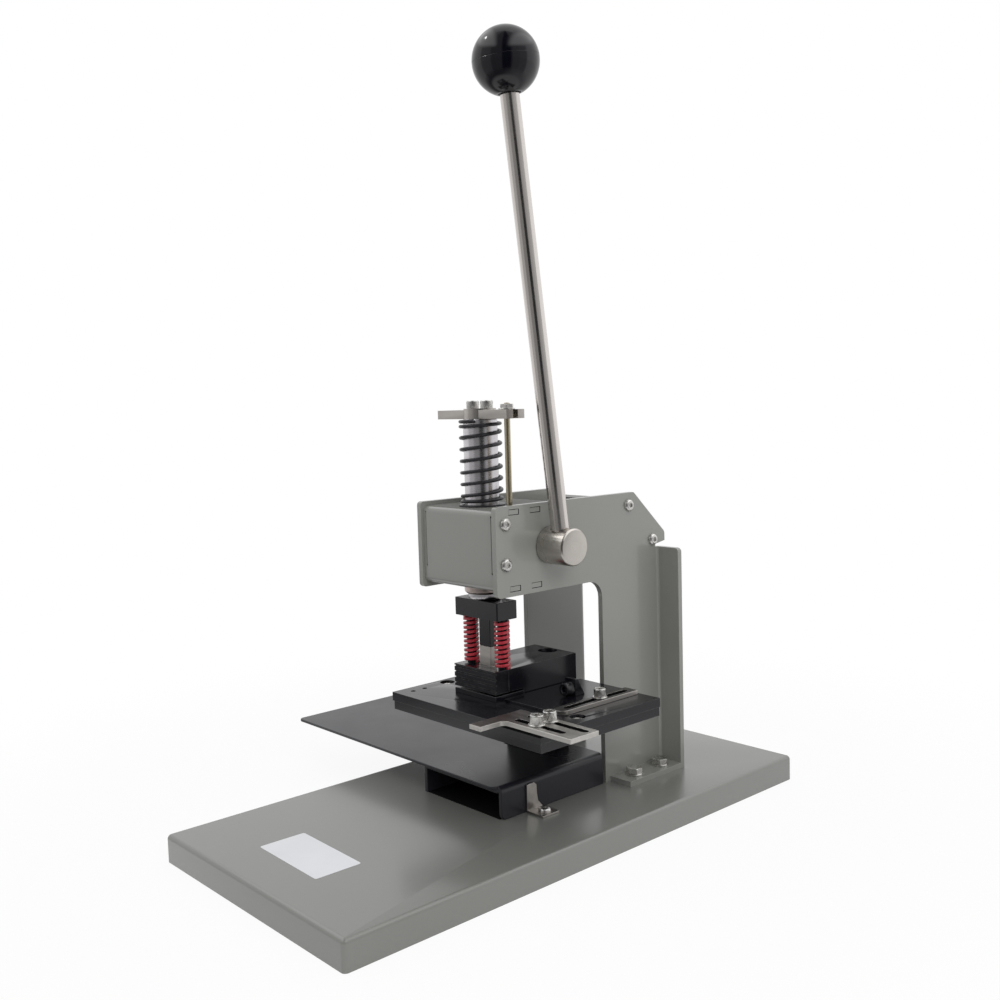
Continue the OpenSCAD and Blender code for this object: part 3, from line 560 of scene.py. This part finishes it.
def dress(node, finish, edge, segments=2, fine=(), fine_edge=0.12, carving=(), dark=(),
          dark_flats=False, upper=None):
    """Copy of a CAD solid with its edges broken by edge millimetres and its real finish.

    Edges inside a box of fine are broken by only the share fine_edge of that. Upright faces
    inside a box of dark are painted black as painted shade, and with dark_flats the other faces in
    it too. Upward faces have the finish upper, if it is given; the arm box uses it for painted shade.
    """
    mesh = carved(frame["nodes"][node].data.copy(), carving)
    mesh.materials.clear()
    work = bmesh.new()
    work.from_mesh(mesh)
    bmesh.ops.remove_doubles(work, verts=work.verts, dist=2e-6)
    bmesh.ops.dissolve_limit(work, angle_limit=math.radians(0.6), verts=work.verts,
                             edges=work.edges)
    weight = work.edges.layers.float.new("bevel_weight_edge")
    for line in work.edges:
        if len(line.link_faces) == 2 and line.calc_face_angle(0) > math.radians(SHARP):
            kept = any(all(inside(box, v.co / MM) for v in line.verts) for box in fine)
            line[weight] = fine_edge if kept else 1.0
    # Faces in the dark boxes get the black finish: painted shade.
    for face in work.faces:
        middle = face.calc_center_median() / MM
        may_be_dark = dark_flats or abs(face.normal.z) < 0.5
        face.material_index = int(may_be_dark and any(inside(box, middle) for box in dark))
    work.to_mesh(mesh)
    work.free()
    mesh.materials.append(FINISHES[finish])
    if dark:
        mesh.materials.append(FINISHES["shade_black"])
    # Upward faces may take the finish upper: painted shade where it is used.
    if upper:
        mesh.materials.append(FINISHES[upper])
        for polygon in mesh.polygons:
            if polygon.normal.z > 0.9:
                polygon.material_index = len(mesh.materials) - 1
    thing = mesh_object(node + "_finished", mesh)
    smooth(mesh, SHARP)
    if edge:
        bevel = thing.modifiers.new("broken_edges", "BEVEL")
        bevel.width = edge * MM
        bevel.segments = segments
        bevel.limit_method = "WEIGHT"
        bevel.use_clamp_overlap = True
        bevel.harden_normals = True
        applied(thing)
        for polygon in thing.data.polygons:
            polygon.use_smooth = True
    settle(thing, body_of(node), node)


def around_tabs(side, gap, depth):
    """Boxes round the arm box's tabs in one side plate, wider by gap, and depth deep into it."""
    low_x, high_x = sorted((side * (PLATE_OUT - depth), side * (PLATE_OUT + 1)))
    return [((low_x, y - gap, z - gap), (high_x, y + TAB_W + gap, z + TAB_T + gap))
            for y in TAB_Y for z in TAB_Z]


def pin_bores():
    """Carving of the bores in the die block that the red springs' black pins run in."""
    return [("DIFFERENCE", post(side * PIN_X, RAM_Y, PIN_R + 0.05, PIN_BORE_LOW, BLOCK_TOP + 2.7))
            for side in (-1, 1)]


def grooved_front(grooves=4, first=1.5, pitch=3.85, width=0.9, depth=1.1):
    """Carving that fills the solid's grooves in the stripper block's front and cuts even ones."""
    half = BLOCK_W / 2
    filling = block((-half, STRIPPER_FRONT, STRIPPER_LOW), (half, STRIPPER_FRONT + 1.4, BLOCK_TOP))
    carving = [("UNION", filling)]
    for row in range(grooves):
        middle = BLOCK_TOP - first - pitch * row
        groove = block((-half - 1.2, STRIPPER_FRONT - 1.8, middle - width / 2),
                       (half + 1.2, STRIPPER_FRONT + depth, middle + width / 2))
        carving.append(("DIFFERENCE", groove))
    return carving


NEAR_TABS = {side: around_tabs(side, gap=1, depth=PLATE_T) for side in (-1, 1)}
dress("base_plate", "base_paint", edge=0.9, segments=3)
for side, plate in ((-1, "side_plate_left"), (1, "side_plate_right")):
    gaps = [("DIFFERENCE", block(*box)) for box in around_tabs(side, gap=0.4, depth=1.2)]
    # The gaps round the tabs are painted black as painted shade.
    dress(plate, "paint", edge=0.7, segments=3, fine=NEAR_TABS[side], fine_edge=0.15,
          carving=gaps, dark=NEAR_TABS[side], dark_flats=True)
# The arm box's upward faces take the darker paint as painted shade.
dress("arm_box", "paint", edge=0.5, upper="shaded_top_paint", fine=NEAR_TABS[-1] + NEAR_TABS[1],
      fine_edge=0.4)
dress("rear_cover", "paint", edge=0.5)
dress("chip_tray", "tray_black", edge=0.5, segments=3)
for black in ("die_plate", "sub_plate", "pedestal", "punch_head", "punch_holder", "clamp_block",
              "guide_block", "die_insert"):
    dress(black, "oxide", edge=0.35)
dress("block_body", "oxide", edge=0.35, carving=pin_bores())
dress("stripper_block", "oxide", edge=0.25, carving=grooved_front() + pin_bores())
dress("guide_bed", "oxide", edge=0.2)
# The guide's support is painted flat black as painted shade, so that the slots read dark.
dress("guide_support", "shade_black", edge=0.25)
for plate in ("ram_cap", "tray_bracket", "punch"):
    dress(plate, "ground", edge=0.25)
# The slot walls of the guide and the stop are painted black as painted shade.
dress("side_guide", "guide", edge=0.25, dark=[GUIDE_SLOTS])
dress("depth_stop", "stop", edge=0.25, dark=[STOP_SLOT])
dress("ram", "polished", edge=0.25)
for bush in ("ram_bush_upper", "ram_bush_lower", "shaft_bush_left", "shaft_bush_right"):
    dress(bush, "bronze", edge=0.3)
dress("lever_hub", "hub", edge=0.35)
dress("lever_rod", "nickel", edge=0)
for inner in ("pinion_shaft", "pinion", "retaining_ring", "foot_nuts", "pedestal_bolts"):
    dress(inner, "zinc", edge=0.15)
dress("guide_rod", "yellow_zinc", edge=0)


# geometry trees

def growing_tree(name, *inputs):
    """Empty geometry tree with named inputs and a Finish; returns it and its inputs' sockets."""
    tree = bpy.data.node_groups.new(name, "GeometryNodeTree")
    for label, kind in inputs + (("Finish", "NodeSocketMaterial"),):
        tree.interface.new_socket(label, in_out="INPUT", socket_type=kind)
    tree.interface.new_socket("Geometry", in_out="OUTPUT", socket_type="NodeSocketGeometry")
    return tree, tree.nodes.new("NodeGroupInput").outputs


def made_real(tree, geometry, finish):
    """The tree, ended in real geometry with its finish."""
    real = add(tree, "GeometryNodeRealizeInstances", {"Geometry": geometry})
    painted = add(tree, "GeometryNodeSetMaterial", {"Geometry": real.outputs[0],
                                                    "Material": finish})
    add(tree, "NodeGroupOutput", {0: painted.outputs[0]})
    return tree


def make_fasteners():
    """Copies of one form at the base mesh's points, turned along Way and each spun a little more."""
    tree, given = growing_tree("fasteners", ("Places", "NodeSocketGeometry"),
                               ("Form", "NodeSocketObject"), ("Way", VECTOR),
                               ("First Turn", FLOAT))
    form = add(tree, "GeometryNodeObjectInfo", {"Object": given["Form"]})
    along = add(tree, "FunctionNodeAlignRotationToVector", {"Vector": given["Way"]}, axis="Z")
    index = add(tree, "GeometryNodeInputIndex").outputs[0]
    turn = maths(tree, "ADD", maths(tree, "MULTIPLY", index, 0.7), given["First Turn"])
    spin = add(tree, "FunctionNodeAxisAngleToRotation", {"Angle": turn})
    spun = add(tree, "FunctionNodeRotateRotation", {"Rotation": along.outputs[0],
                                                    "Rotate By": spin.outputs[0]},
               rotation_space="LOCAL")
    copies = add(tree, "GeometryNodeInstanceOnPoints", {
        "Points": given["Places"], "Instance": form.outputs["Geometry"],
        "Rotation": spun.outputs[0]})
    return made_real(tree, copies.outputs[0], given["Finish"])


def make_wound_wire():
    """Wire wound up the Z axis with closed turns at both ends, from its index along the path."""
    tree, given = growing_tree(
        "wound_wire", ("Radius", FLOAT), ("Turns", FLOAT), ("Closed Turns", FLOAT),
        ("Closed Pitch", FLOAT), ("Open Pitch", FLOAT), ("Start Angle", FLOAT),
        ("Wire Width", FLOAT), ("Wire Height", FLOAT), ("Wire Corner", FLOAT),
        ("Steps", "NodeSocketInt"))
    work_out = partial(maths, tree)
    points = work_out("ADD", work_out("MULTIPLY", given["Turns"], given["Steps"]), 1.0)
    line = add(tree, "GeometryNodeCurvePrimitiveLine")
    path = add(tree, "GeometryNodeResampleCurve", {"Curve": line.outputs[0], "Count": points})
    turn = work_out("DIVIDE", add(tree, "GeometryNodeInputIndex").outputs[0], given["Steps"])
    angle = work_out("ADD", work_out("MULTIPLY", turn, 2 * math.pi), given["Start Angle"])
    both_closed = work_out("MULTIPLY", given["Closed Turns"], 2.0)
    open_turns = work_out("SUBTRACT", given["Turns"], both_closed)
    past_start = work_out("MAXIMUM", work_out("SUBTRACT", turn, given["Closed Turns"]), 0.0)
    past_open = work_out("MAXIMUM", work_out("SUBTRACT", past_start, open_turns), 0.0)
    closed = work_out("ADD", work_out("MINIMUM", turn, given["Closed Turns"]), past_open)
    opened = work_out("MINIMUM", past_start, open_turns)
    height = work_out("ADD", work_out("MULTIPLY", closed, given["Closed Pitch"]),
                      work_out("MULTIPLY", opened, given["Open Pitch"]))
    raised = work_out("ADD", height, work_out("MULTIPLY", given["Wire Height"], 0.5))
    place = add(tree, "ShaderNodeCombineXYZ", {
        0: work_out("MULTIPLY", work_out("COSINE", angle), given["Radius"]),
        1: work_out("MULTIPLY", work_out("SINE", angle), given["Radius"]), 2: raised})
    wound = add(tree, "GeometryNodeSetPosition", {"Geometry": path.outputs[0],
                                                  "Position": place.outputs[0]})
    upright = add(tree, "GeometryNodeSetCurveNormal", {"Curve": wound.outputs[0]}, mode="Z_UP")
    section = add(tree, "GeometryNodeCurvePrimitiveQuadrilateral", {
        "Width": given["Wire Height"], "Height": given["Wire Width"]})
    rounded = add(tree, "GeometryNodeFilletCurve", {"Curve": section.outputs[0], "Count": 4,
                                                    "Radius": given["Wire Corner"]}, mode="POLY")
    tube = add(tree, "GeometryNodeCurveToMesh", {"Curve": upright.outputs[0],
                                                 "Profile Curve": rounded.outputs[0],
                                                 "Fill Caps": True})
    merged = add(tree, "GeometryNodeMergeByDistance", {"Geometry": tube.outputs[0],
                                                       "Distance": 1e-6})
    return made_real(tree, merged.outputs[0], given["Finish"])


FASTENERS = make_fasteners()
WOUND_WIRE = make_wound_wire()


def grow(name, tree, base_mesh, **values):
    """Object grown by a geometry tree over base_mesh, made a plain mesh."""
    thing = mesh_object(name, base_mesh or bpy.data.meshes.new(name))
    grower = thing.modifiers.new("grower", "NODES")
    grower.node_group = tree
    sockets = {item.name: item.identifier for item in tree.interface.items_tree
               if item.in_out == "INPUT"}
    for key, value in values.items():
        grower[sockets[key.replace("_", " ")]] = value
    return applied(thing)


# fasteners

def shank(radius, length, top=0):
    """Rings of a plain shank with a broken end, from length below 0 up to top."""
    return [ring(-length, radius - 0.4), ring(-length + 0.4, radius), ring(top, radius)]


def socket(radius, mouth, depth):
    """Rings of a hexagon socket, its corner radius given, down from height mouth."""
    return [ring(mouth, radius + 0.3), ring(mouth - 0.25, radius, "hex"),
            ring(mouth - depth, radius, "hex"), ring(mouth - depth - 0.5, radius * 0.3)]


def washer_rings(hole, radius, low, high):
    """Closed rings of a washer."""
    return [ring(low, hole), ring(low, radius - 0.12), ring(low + 0.12, radius),
            ring(high - 0.2, radius), ring(high, radius - 0.2), ring(high, hole), ring(low, hole)]


def hex_rings(corner, low, high, both=False):
    """Rings of a hexagon head or nut, its corners cut by a cone at the top, or at both ends."""
    cut = corner * 0.86
    cone = [(0.0, cut), (0.1, cut + (corner - cut) * 0.3), (0.25, cut + (corner - cut) * 0.65),
            (0.45, corner)]
    under = [ring(low + deep, corner, "hex", limit) for deep, limit in cone] if both else [
        ring(low, corner - 0.15, "hex"), ring(low + 0.15, corner, "hex")]
    return under + [ring(high - deep, corner, "hex", limit) for deep, limit in reversed(cone)]


def cap_head(radius, height, hexagon, stem, length, sunk=None, washer=None):
    """Cap screw with a knurled head and a hexagon socket of a given corner radius.

    The socket is sunk deep, or else by 0.55 of the head's height. washer gives the radius and
    thickness of a washer under the head.
    """
    screw = shank(stem, length) + [
        ring(0, radius - 0.2), ring(0.2, radius), ring(0.45, radius), ring(0.5, radius, "knurl"),
        ring(height - 1.0, radius, "knurl"), ring(height - 0.85, radius - 0.05),
        ring(height - 0.4, radius - 0.12), ring(height - 0.1, radius - 0.35),
        ring(height, radius - 0.75)] + socket(hexagon, height, sunk or height * 0.55)
    shells = [screw]
    if washer:
        reach, thickness = washer
        shells.append(washer_rings(stem + 0.02, reach, -thickness, 0))
    return lofted("cap_head", *shells)


def button_head(radius, height, hexagon, stem, length):
    """Low domed screw with a hexagon socket of a given corner radius."""
    flat = hexagon + 0.45
    dome = [(flat + (radius - flat) * math.cos(t), 0.35 + (height - 0.35) * math.sin(t))
            for t in (math.radians(10 * step) for step in range(10))]
    return lofted("button_head", shank(stem, length) + [ring(0, radius - 0.1)]
                  + [ring(high, reach) for reach, high in dome] + socket(hexagon, height, 1.4))


def foot_bolt(stem=3, washer=1.2):
    """Hexagon bolt of the foot, on its washer."""
    return lofted("foot_bolt",
                  shank(stem, 14, top=washer) + hex_rings(corner=5.7, low=washer, high=5.2),
                  washer_rings(stem + 0.02, radius=6, low=0, high=washer))


def sunk_screw(stem=3, head_top=-1.5):
    """Screw of the die plate, its head sunk in a bore."""
    return lofted("sunk_screw", shank(stem, 11, top=-3) + [
        ring(-3, 4.0), ring(-2.8, 4.2), ring(-1.9, 4.2), ring(-1.65, 4.1), ring(head_top, 3.8)]
        + socket(2.1, mouth=head_top, depth=1.2))


def rod_nut(hole=2.02, washer=0.9, top=3.6):
    """Nut of the guide rod, on its washer."""
    nut = hex_rings(corner=4.7, low=washer, high=top, both=True)
    return lofted("rod_nut", washer_rings(hole, radius=5.4, low=0, high=washer),
                  [ring(washer, hole)] + nut + [ring(top, hole), ring(washer, hole)])


def fasteners(node, finish, form, places, way=(0.0, 0.0, 1.0), turn=0.2):
    """The real fasteners of a CAD node, one at each place, pointing along way."""
    master = mesh_object(node + "_form", form)
    spots = bpy.data.meshes.new(node + "_places")
    spots.from_pydata([Vector(place) * MM for place in places], [], [])
    thing = grow(node + "_finished", FASTENERS, spots, Form=master, Way=way, First_Turn=turn,
                 Finish=FINISHES[finish])
    bpy.data.objects.remove(master)
    bpy.data.meshes.remove(form)
    smooth(thing.data, 34)
    settle(thing, body_of(node), node)


for side, node in ((-1.0, "frame_screws_left"), (1.0, "frame_screws_right")):
    fasteners(node, "zinc", button_head(radius=4.3, height=2.6, hexagon=1.73, stem=2, length=6.5),
              [(side * PLATE_OUT, y, z) for y, z in FRAME_SCREWS], way=(side, 0.0, 0.0))
fasteners("foot_bolts", "zinc", foot_bolt(),
          [(x, y, BASE_TOP + PLATE_T) for x in (-50, 50) for y in (278.5, 306.5)])
fasteners("cap_screws", "zinc",
          cap_head(radius=4.25, height=5.3, hexagon=2.3, stem=2.5, length=17),
          [(x, RAM_Y, CAP_TOP + 0.9) for x in (-7, 7)])
fasteners("guide_screws", "zinc",
          cap_head(radius=4.15, height=5.6, hexagon=1.75, stem=2, length=7.15, sunk=3,
                   washer=(5.2, 1.05)), [(92, y, GUIDE_TOP + 1.1) for y in (145, 155.7)])
fasteners("depth_stop_screw", "zinc",
          cap_head(radius=3.9, height=5.4, hexagon=1.75, stem=2, length=4.1, sunk=3,
                   washer=(4.9, 1)), [(70.9, 222.4, DIE_TOP + 4.1)])
fasteners("clamp_screw", "oxide",
          cap_head(radius=4.3, height=6.4, hexagon=2.3, stem=2, length=4.4),
          [(48.1, 218.2, 95.5)], way=(0.0, -1.0, 0.0))
fasteners("block_screw", "oxide",
          cap_head(radius=6.4, height=3, hexagon=3.45, stem=4, length=33), [(0, 245, 100.3)])
fasteners("bracket_screw", "zinc",
          button_head(radius=4.3, height=2.8, hexagon=1.75, stem=2, length=8),
          [(49.5, 190.3, 19.5)])
fasteners("die_plate_screws", "zinc", sunk_screw(), [(x, 189, DIE_TOP) for x in (-45.5, 82.7)])
fasteners("guide_rod_nut", "zinc", rod_nut(), [(26.7, RAM_Y, CAP_TOP)])


# turned pieces

def turned(node, finish, *shells, matrix):
    """Round piece lofted from its rings about the Z axis, put in place, for a CAD node."""
    mesh = lofted(node + "_finished", *shells)
    mesh.transform(matrix)
    mesh.materials.append(FINISHES[finish])
    smooth(mesh, 30)
    settle(mesh_object(node + "_finished", mesh), body_of(node), node)


def ball_rings(radius=20.7, rim=8.3, steps=56, sides=128):
    """Rings of the ball from the recess round the rod, over the moulded parting line, to its top."""
    low = math.asin(rim / radius)
    heights = [-radius * math.cos(low + (math.pi - 0.02 - low) * i / steps) for i in range(steps + 1)]
    line, line_half, line_depth = 1.0, 0.22, 0.14
    heights = sorted([h for h in heights if abs(h - line) > 0.5]
                     + [line - line_half, line, line + line_half])
    outer = [ring(h, math.sqrt(radius ** 2 - h ** 2) - (line_depth if h == line else 0),
                  sides=sides) for h in heights]
    recess = ((-18.0, 5.02), (-18.0, 7.0), (-18.7, 7.15), (heights[0], 7.35))
    return [ring(h, reach, sides=sides) for h, reach in recess] + outer


turned("ball_knob", "ball", ball_rings(), matrix=Matrix.Translation(metres(SHAFT))
       @ Matrix.Rotation(LEVER_LEAN, 4, "X") @ Matrix.Translation(metres((0, 0, BALL_UP))))
turned("spring_pilots", "oxide", *[post(side * PIN_X, RAM_Y, PIN_R, BLOCK_TOP - 0.6, HEAD_Z)
                                   for side in (-1, 1)], matrix=Matrix.Identity(4))
turned("spring_seat", "wire", [
    ring(0, 10.5), ring(0, 15.4), ring(0.15, 15.5), ring(1.0, 15.5), ring(1.2, 15.3),
    ring(1.2, 10.5), ring(0, 10.5)], matrix=Matrix.Translation(metres((0, RAM_Y, BOX_TOP))))


# label and painted shade sheet

def label_outline(height, inset, half_x=32.5, half_y=15.7, corner=1.5):
    """Points round the label, whose four corners are round."""
    points = []
    for x, y, start in ((1, 1, 0), (-1, 1, 90), (-1, -1, 180), (1, -1, 270)):
        for step in range(7):
            turn = math.radians(start + 15 * step)
            points.append((x * (half_x - corner) + (corner - inset) * math.cos(turn),
                           y * (half_y - corner) + (corner - inset) * math.sin(turn), height))
    return points


def blank_label():
    """Blank white sticker on the base, a little askew."""
    mesh = lofted("blank_label", [label_outline(0, 0), label_outline(0.1, 0),
                                  label_outline(0.15, 0.06)])
    mesh.transform(Matrix.Translation(metres((-4.7, 45.1, BASE_TOP)))
                   @ Matrix.Rotation(math.radians(-1.3), 4, "Z"))
    mesh.materials.append(FINISHES["label"])
    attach(mesh_object("blank_label", mesh), "frame")


def tray_lining():
    """Thin black sheet on the base, in the channel under the tray that the slugs leave by: painted
    shade.
    """
    mesh = lofted("tray_lining", block((-36.6, 162.2, BASE_TOP), (36.6, 224, BASE_TOP + 0.6)))
    mesh.materials.append(FINISHES["shade_black"])
    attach(mesh_object("tray_lining", mesh), "frame")


blank_label()
tray_lining()


# springs

def wound_spring(name, node, foot, height, radius, turns, closed, closed_pitch, wire,
                 corner, start, steps, finish):
    """Real spring between foot and foot + height.

    wire is the width and height of its section, and start its first angle in degrees.
    """
    open_pitch = (height - wire[1] - 2 * closed * closed_pitch) / (turns - 2 * closed)
    thing = grow(name, WOUND_WIRE, None, Radius=radius * MM, Turns=turns, Closed_Turns=closed,
                 Closed_Pitch=closed_pitch * MM, Open_Pitch=open_pitch * MM,
                 Start_Angle=math.radians(start), Wire_Width=wire[0] * MM,
                 Wire_Height=wire[1] * MM, Wire_Corner=corner * MM, Steps=steps,
                 Finish=FINISHES[finish])
    foot = metres(foot)
    thing.data.transform(Matrix.Translation(foot))
    smooth(thing.data, 40)
    settle(thing, "frame", node)
    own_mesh(thing)


wound_spring("return_spring", "main_spring", foot=(0, RAM_Y, SPRING_SEAT_Z),
             height=CAP_Z - SPRING_SEAT_Z, radius=13.35, turns=8.5, closed=1.25, closed_pitch=3.2,
             wire=(2.2, 2.2), corner=1.09, start=120, steps=48, finish="wire")
for side, node in ((-1, "punch_spring_left"), (1, "punch_spring_right")):
    wound_spring(node + "_wound", node, foot=(side * PIN_X, RAM_Y, BLOCK_TOP),
                 height=HEAD_Z - BLOCK_TOP, radius=4.5, turns=10.75, closed=1.0, closed_pitch=2.1,
                 wire=(2.0, 1.7), corner=0.4, start=0, steps=40, finish="red")


# camera, room and lamps

def photo_camera():
    """Camera at the photograph's place, level and frame."""
    data = bpy.data.cameras.new("photo_camera")
    data.sensor_width = 36
    data.lens = 39.7915
    data.shift_x = -0.0034835
    data.shift_y = -0.0029955
    data.clip_start = 0.02
    camera = bpy.data.objects.new("photo_camera", data)
    camera.matrix_world = (Matrix.Translation(CAMERA_PLACE)
                           @ Matrix.Rotation(math.radians(CAMERA_AZIMUTH - 90), 4, "Z")
                           @ Matrix.Rotation(math.radians(CAMERA_TILT + 90), 4, "X")
                           @ Matrix.Rotation(math.radians(CAMERA_ROLL), 4, "Z"))
    bpy.context.scene.collection.objects.link(camera)
    bpy.context.scene.camera = camera


def pale_floor(half=12):
    """Floor that runs out into white, so that only a faint shadow shows near the machine."""
    material = blank_material("pale_floor")
    tree = material.node_tree
    from_middle = vector_maths(tree, "SUBTRACT", object_place(tree), (0, 0.2, 0))
    reach = vector_maths(tree, "LENGTH", from_middle)
    glowing = ramp(tree, reach, start=0.25, end=0.6, low=0.92, high=1.0, soft=True)
    panels = effect(tree, "panels", Way=from_middle)["Level"]
    dimmed = maths(tree, "MULTIPLY", panels, 0.9)
    unit = vector_maths(tree, "NORMALIZE", from_middle)
    towards = vector_maths(tree, "DOT_PRODUCT", unit, heading(FLOOR_AZIMUTH))
    close = ramp(tree, towards, start=-0.2, end=0.8, low=0.12, high=0.6)
    closest = ramp(tree, reach, start=0.30, end=0.40, low=0.9, high=close)
    seen = ramp(tree, reach, start=0.42, end=0.8, low=closest, high=dimmed)
    level = ramp(tree, any_ray(tree, "Glossy"), low=1.0, high=seen)
    matt = add(tree, "ShaderNodeBsdfDiffuse", {"Color": (0.86, 0.86, 0.86, 1)})
    glow = add(tree, "ShaderNodeEmission", {"Color": WHITE, "Strength": level})
    share = maths(tree, "MULTIPLY", any_ray(tree, "Camera", "Glossy", "Transmission"), glowing)
    both = add(tree, "ShaderNodeMixShader", {0: share, 1: matt.outputs[0], 2: glow.outputs[0]})
    add(tree, "ShaderNodeOutputMaterial", {"Surface": both.outputs[0]})
    mesh = bpy.data.meshes.new("floor")
    mesh.from_pydata([(-half, -half, 0), (half, -half, 0), (half, half, 0), (-half, half, 0)], [],
                     [(0, 1, 2, 3)])
    mesh.materials.append(material)
    floor = mesh_object("floor", mesh)


def white_room(light):
    """World that is white to the eye, a studio of soft panels to gloss, and even light to the rest."""
    world = bpy.data.worlds.new("white_room")
    world.use_nodes = True
    tree = world.node_tree
    tree.nodes.clear()
    way = add(tree, "ShaderNodeTexCoord").outputs["Generated"]
    panels = effect(tree, "panels", Way=way)["Level"]
    across = vector_maths(tree, "DOT_PRODUCT", way, heading(CEILING_AZIMUTH))
    beside = ramp(tree, maths(tree, "ABSOLUTE", across), start=0.15, end=0.5, low=0.05, high=1.7,
                  soft=True)
    above = ramp(tree, part_of(tree, way, "Z"), start=0.4, end=0.65, soft=True)
    studio = maths(tree, "MAXIMUM", panels, maths(tree, "MULTIPLY", above, beside))
    lit = ramp(tree, any_ray(tree, "Glossy"), low=light, high=studio)
    strength = ramp(tree, any_ray(tree, "Camera", "Transmission"), low=lit, high=1.0)
    background = add(tree, "ShaderNodeBackground", {"Color": WHITE, "Strength": strength})
    add(tree, "ShaderNodeOutputWorld", {"Surface": background.outputs[0]})
    bpy.context.scene.world = world


def softbox(name, place, target, width, height, power, glint=False):
    """Soft lamp, either seen by matt surfaces alone or, as a glint, by gloss alone."""
    data = bpy.data.lights.new(name, "AREA")
    data.shape = "RECTANGLE"
    data.size, data.size_y, data.energy = width, height, power
    lamp = bpy.data.objects.new(name, data)
    lamp.location = place
    lamp.rotation_euler = (Vector(target) - Vector(place)).to_track_quat("-Z", "Y").to_euler()
    lamp.visible_glossy, lamp.visible_diffuse = glint, not glint
    bpy.context.scene.collection.objects.link(lamp)


photo_camera()
pale_floor()
white_room(light=0.67)
softbox("key_lamp", (1.5, -0.3, 1.4), target=(0, 0.2, 0.2), width=1.2, height=1.2, power=16.5)
softbox("fill_lamp", (-1.2, -1.2, 0.9), target=(0, 0.2, 0.2), width=1.2, height=1.2, power=0.8)
softbox("glint_lamp", (-0.77, -0.28, 1.64), target=(0, 0.2, 0.47), width=0.16, height=0.10,
        power=1.0, glint=True)
scene = bpy.context.scene
scene.view_settings.view_transform = "Standard"
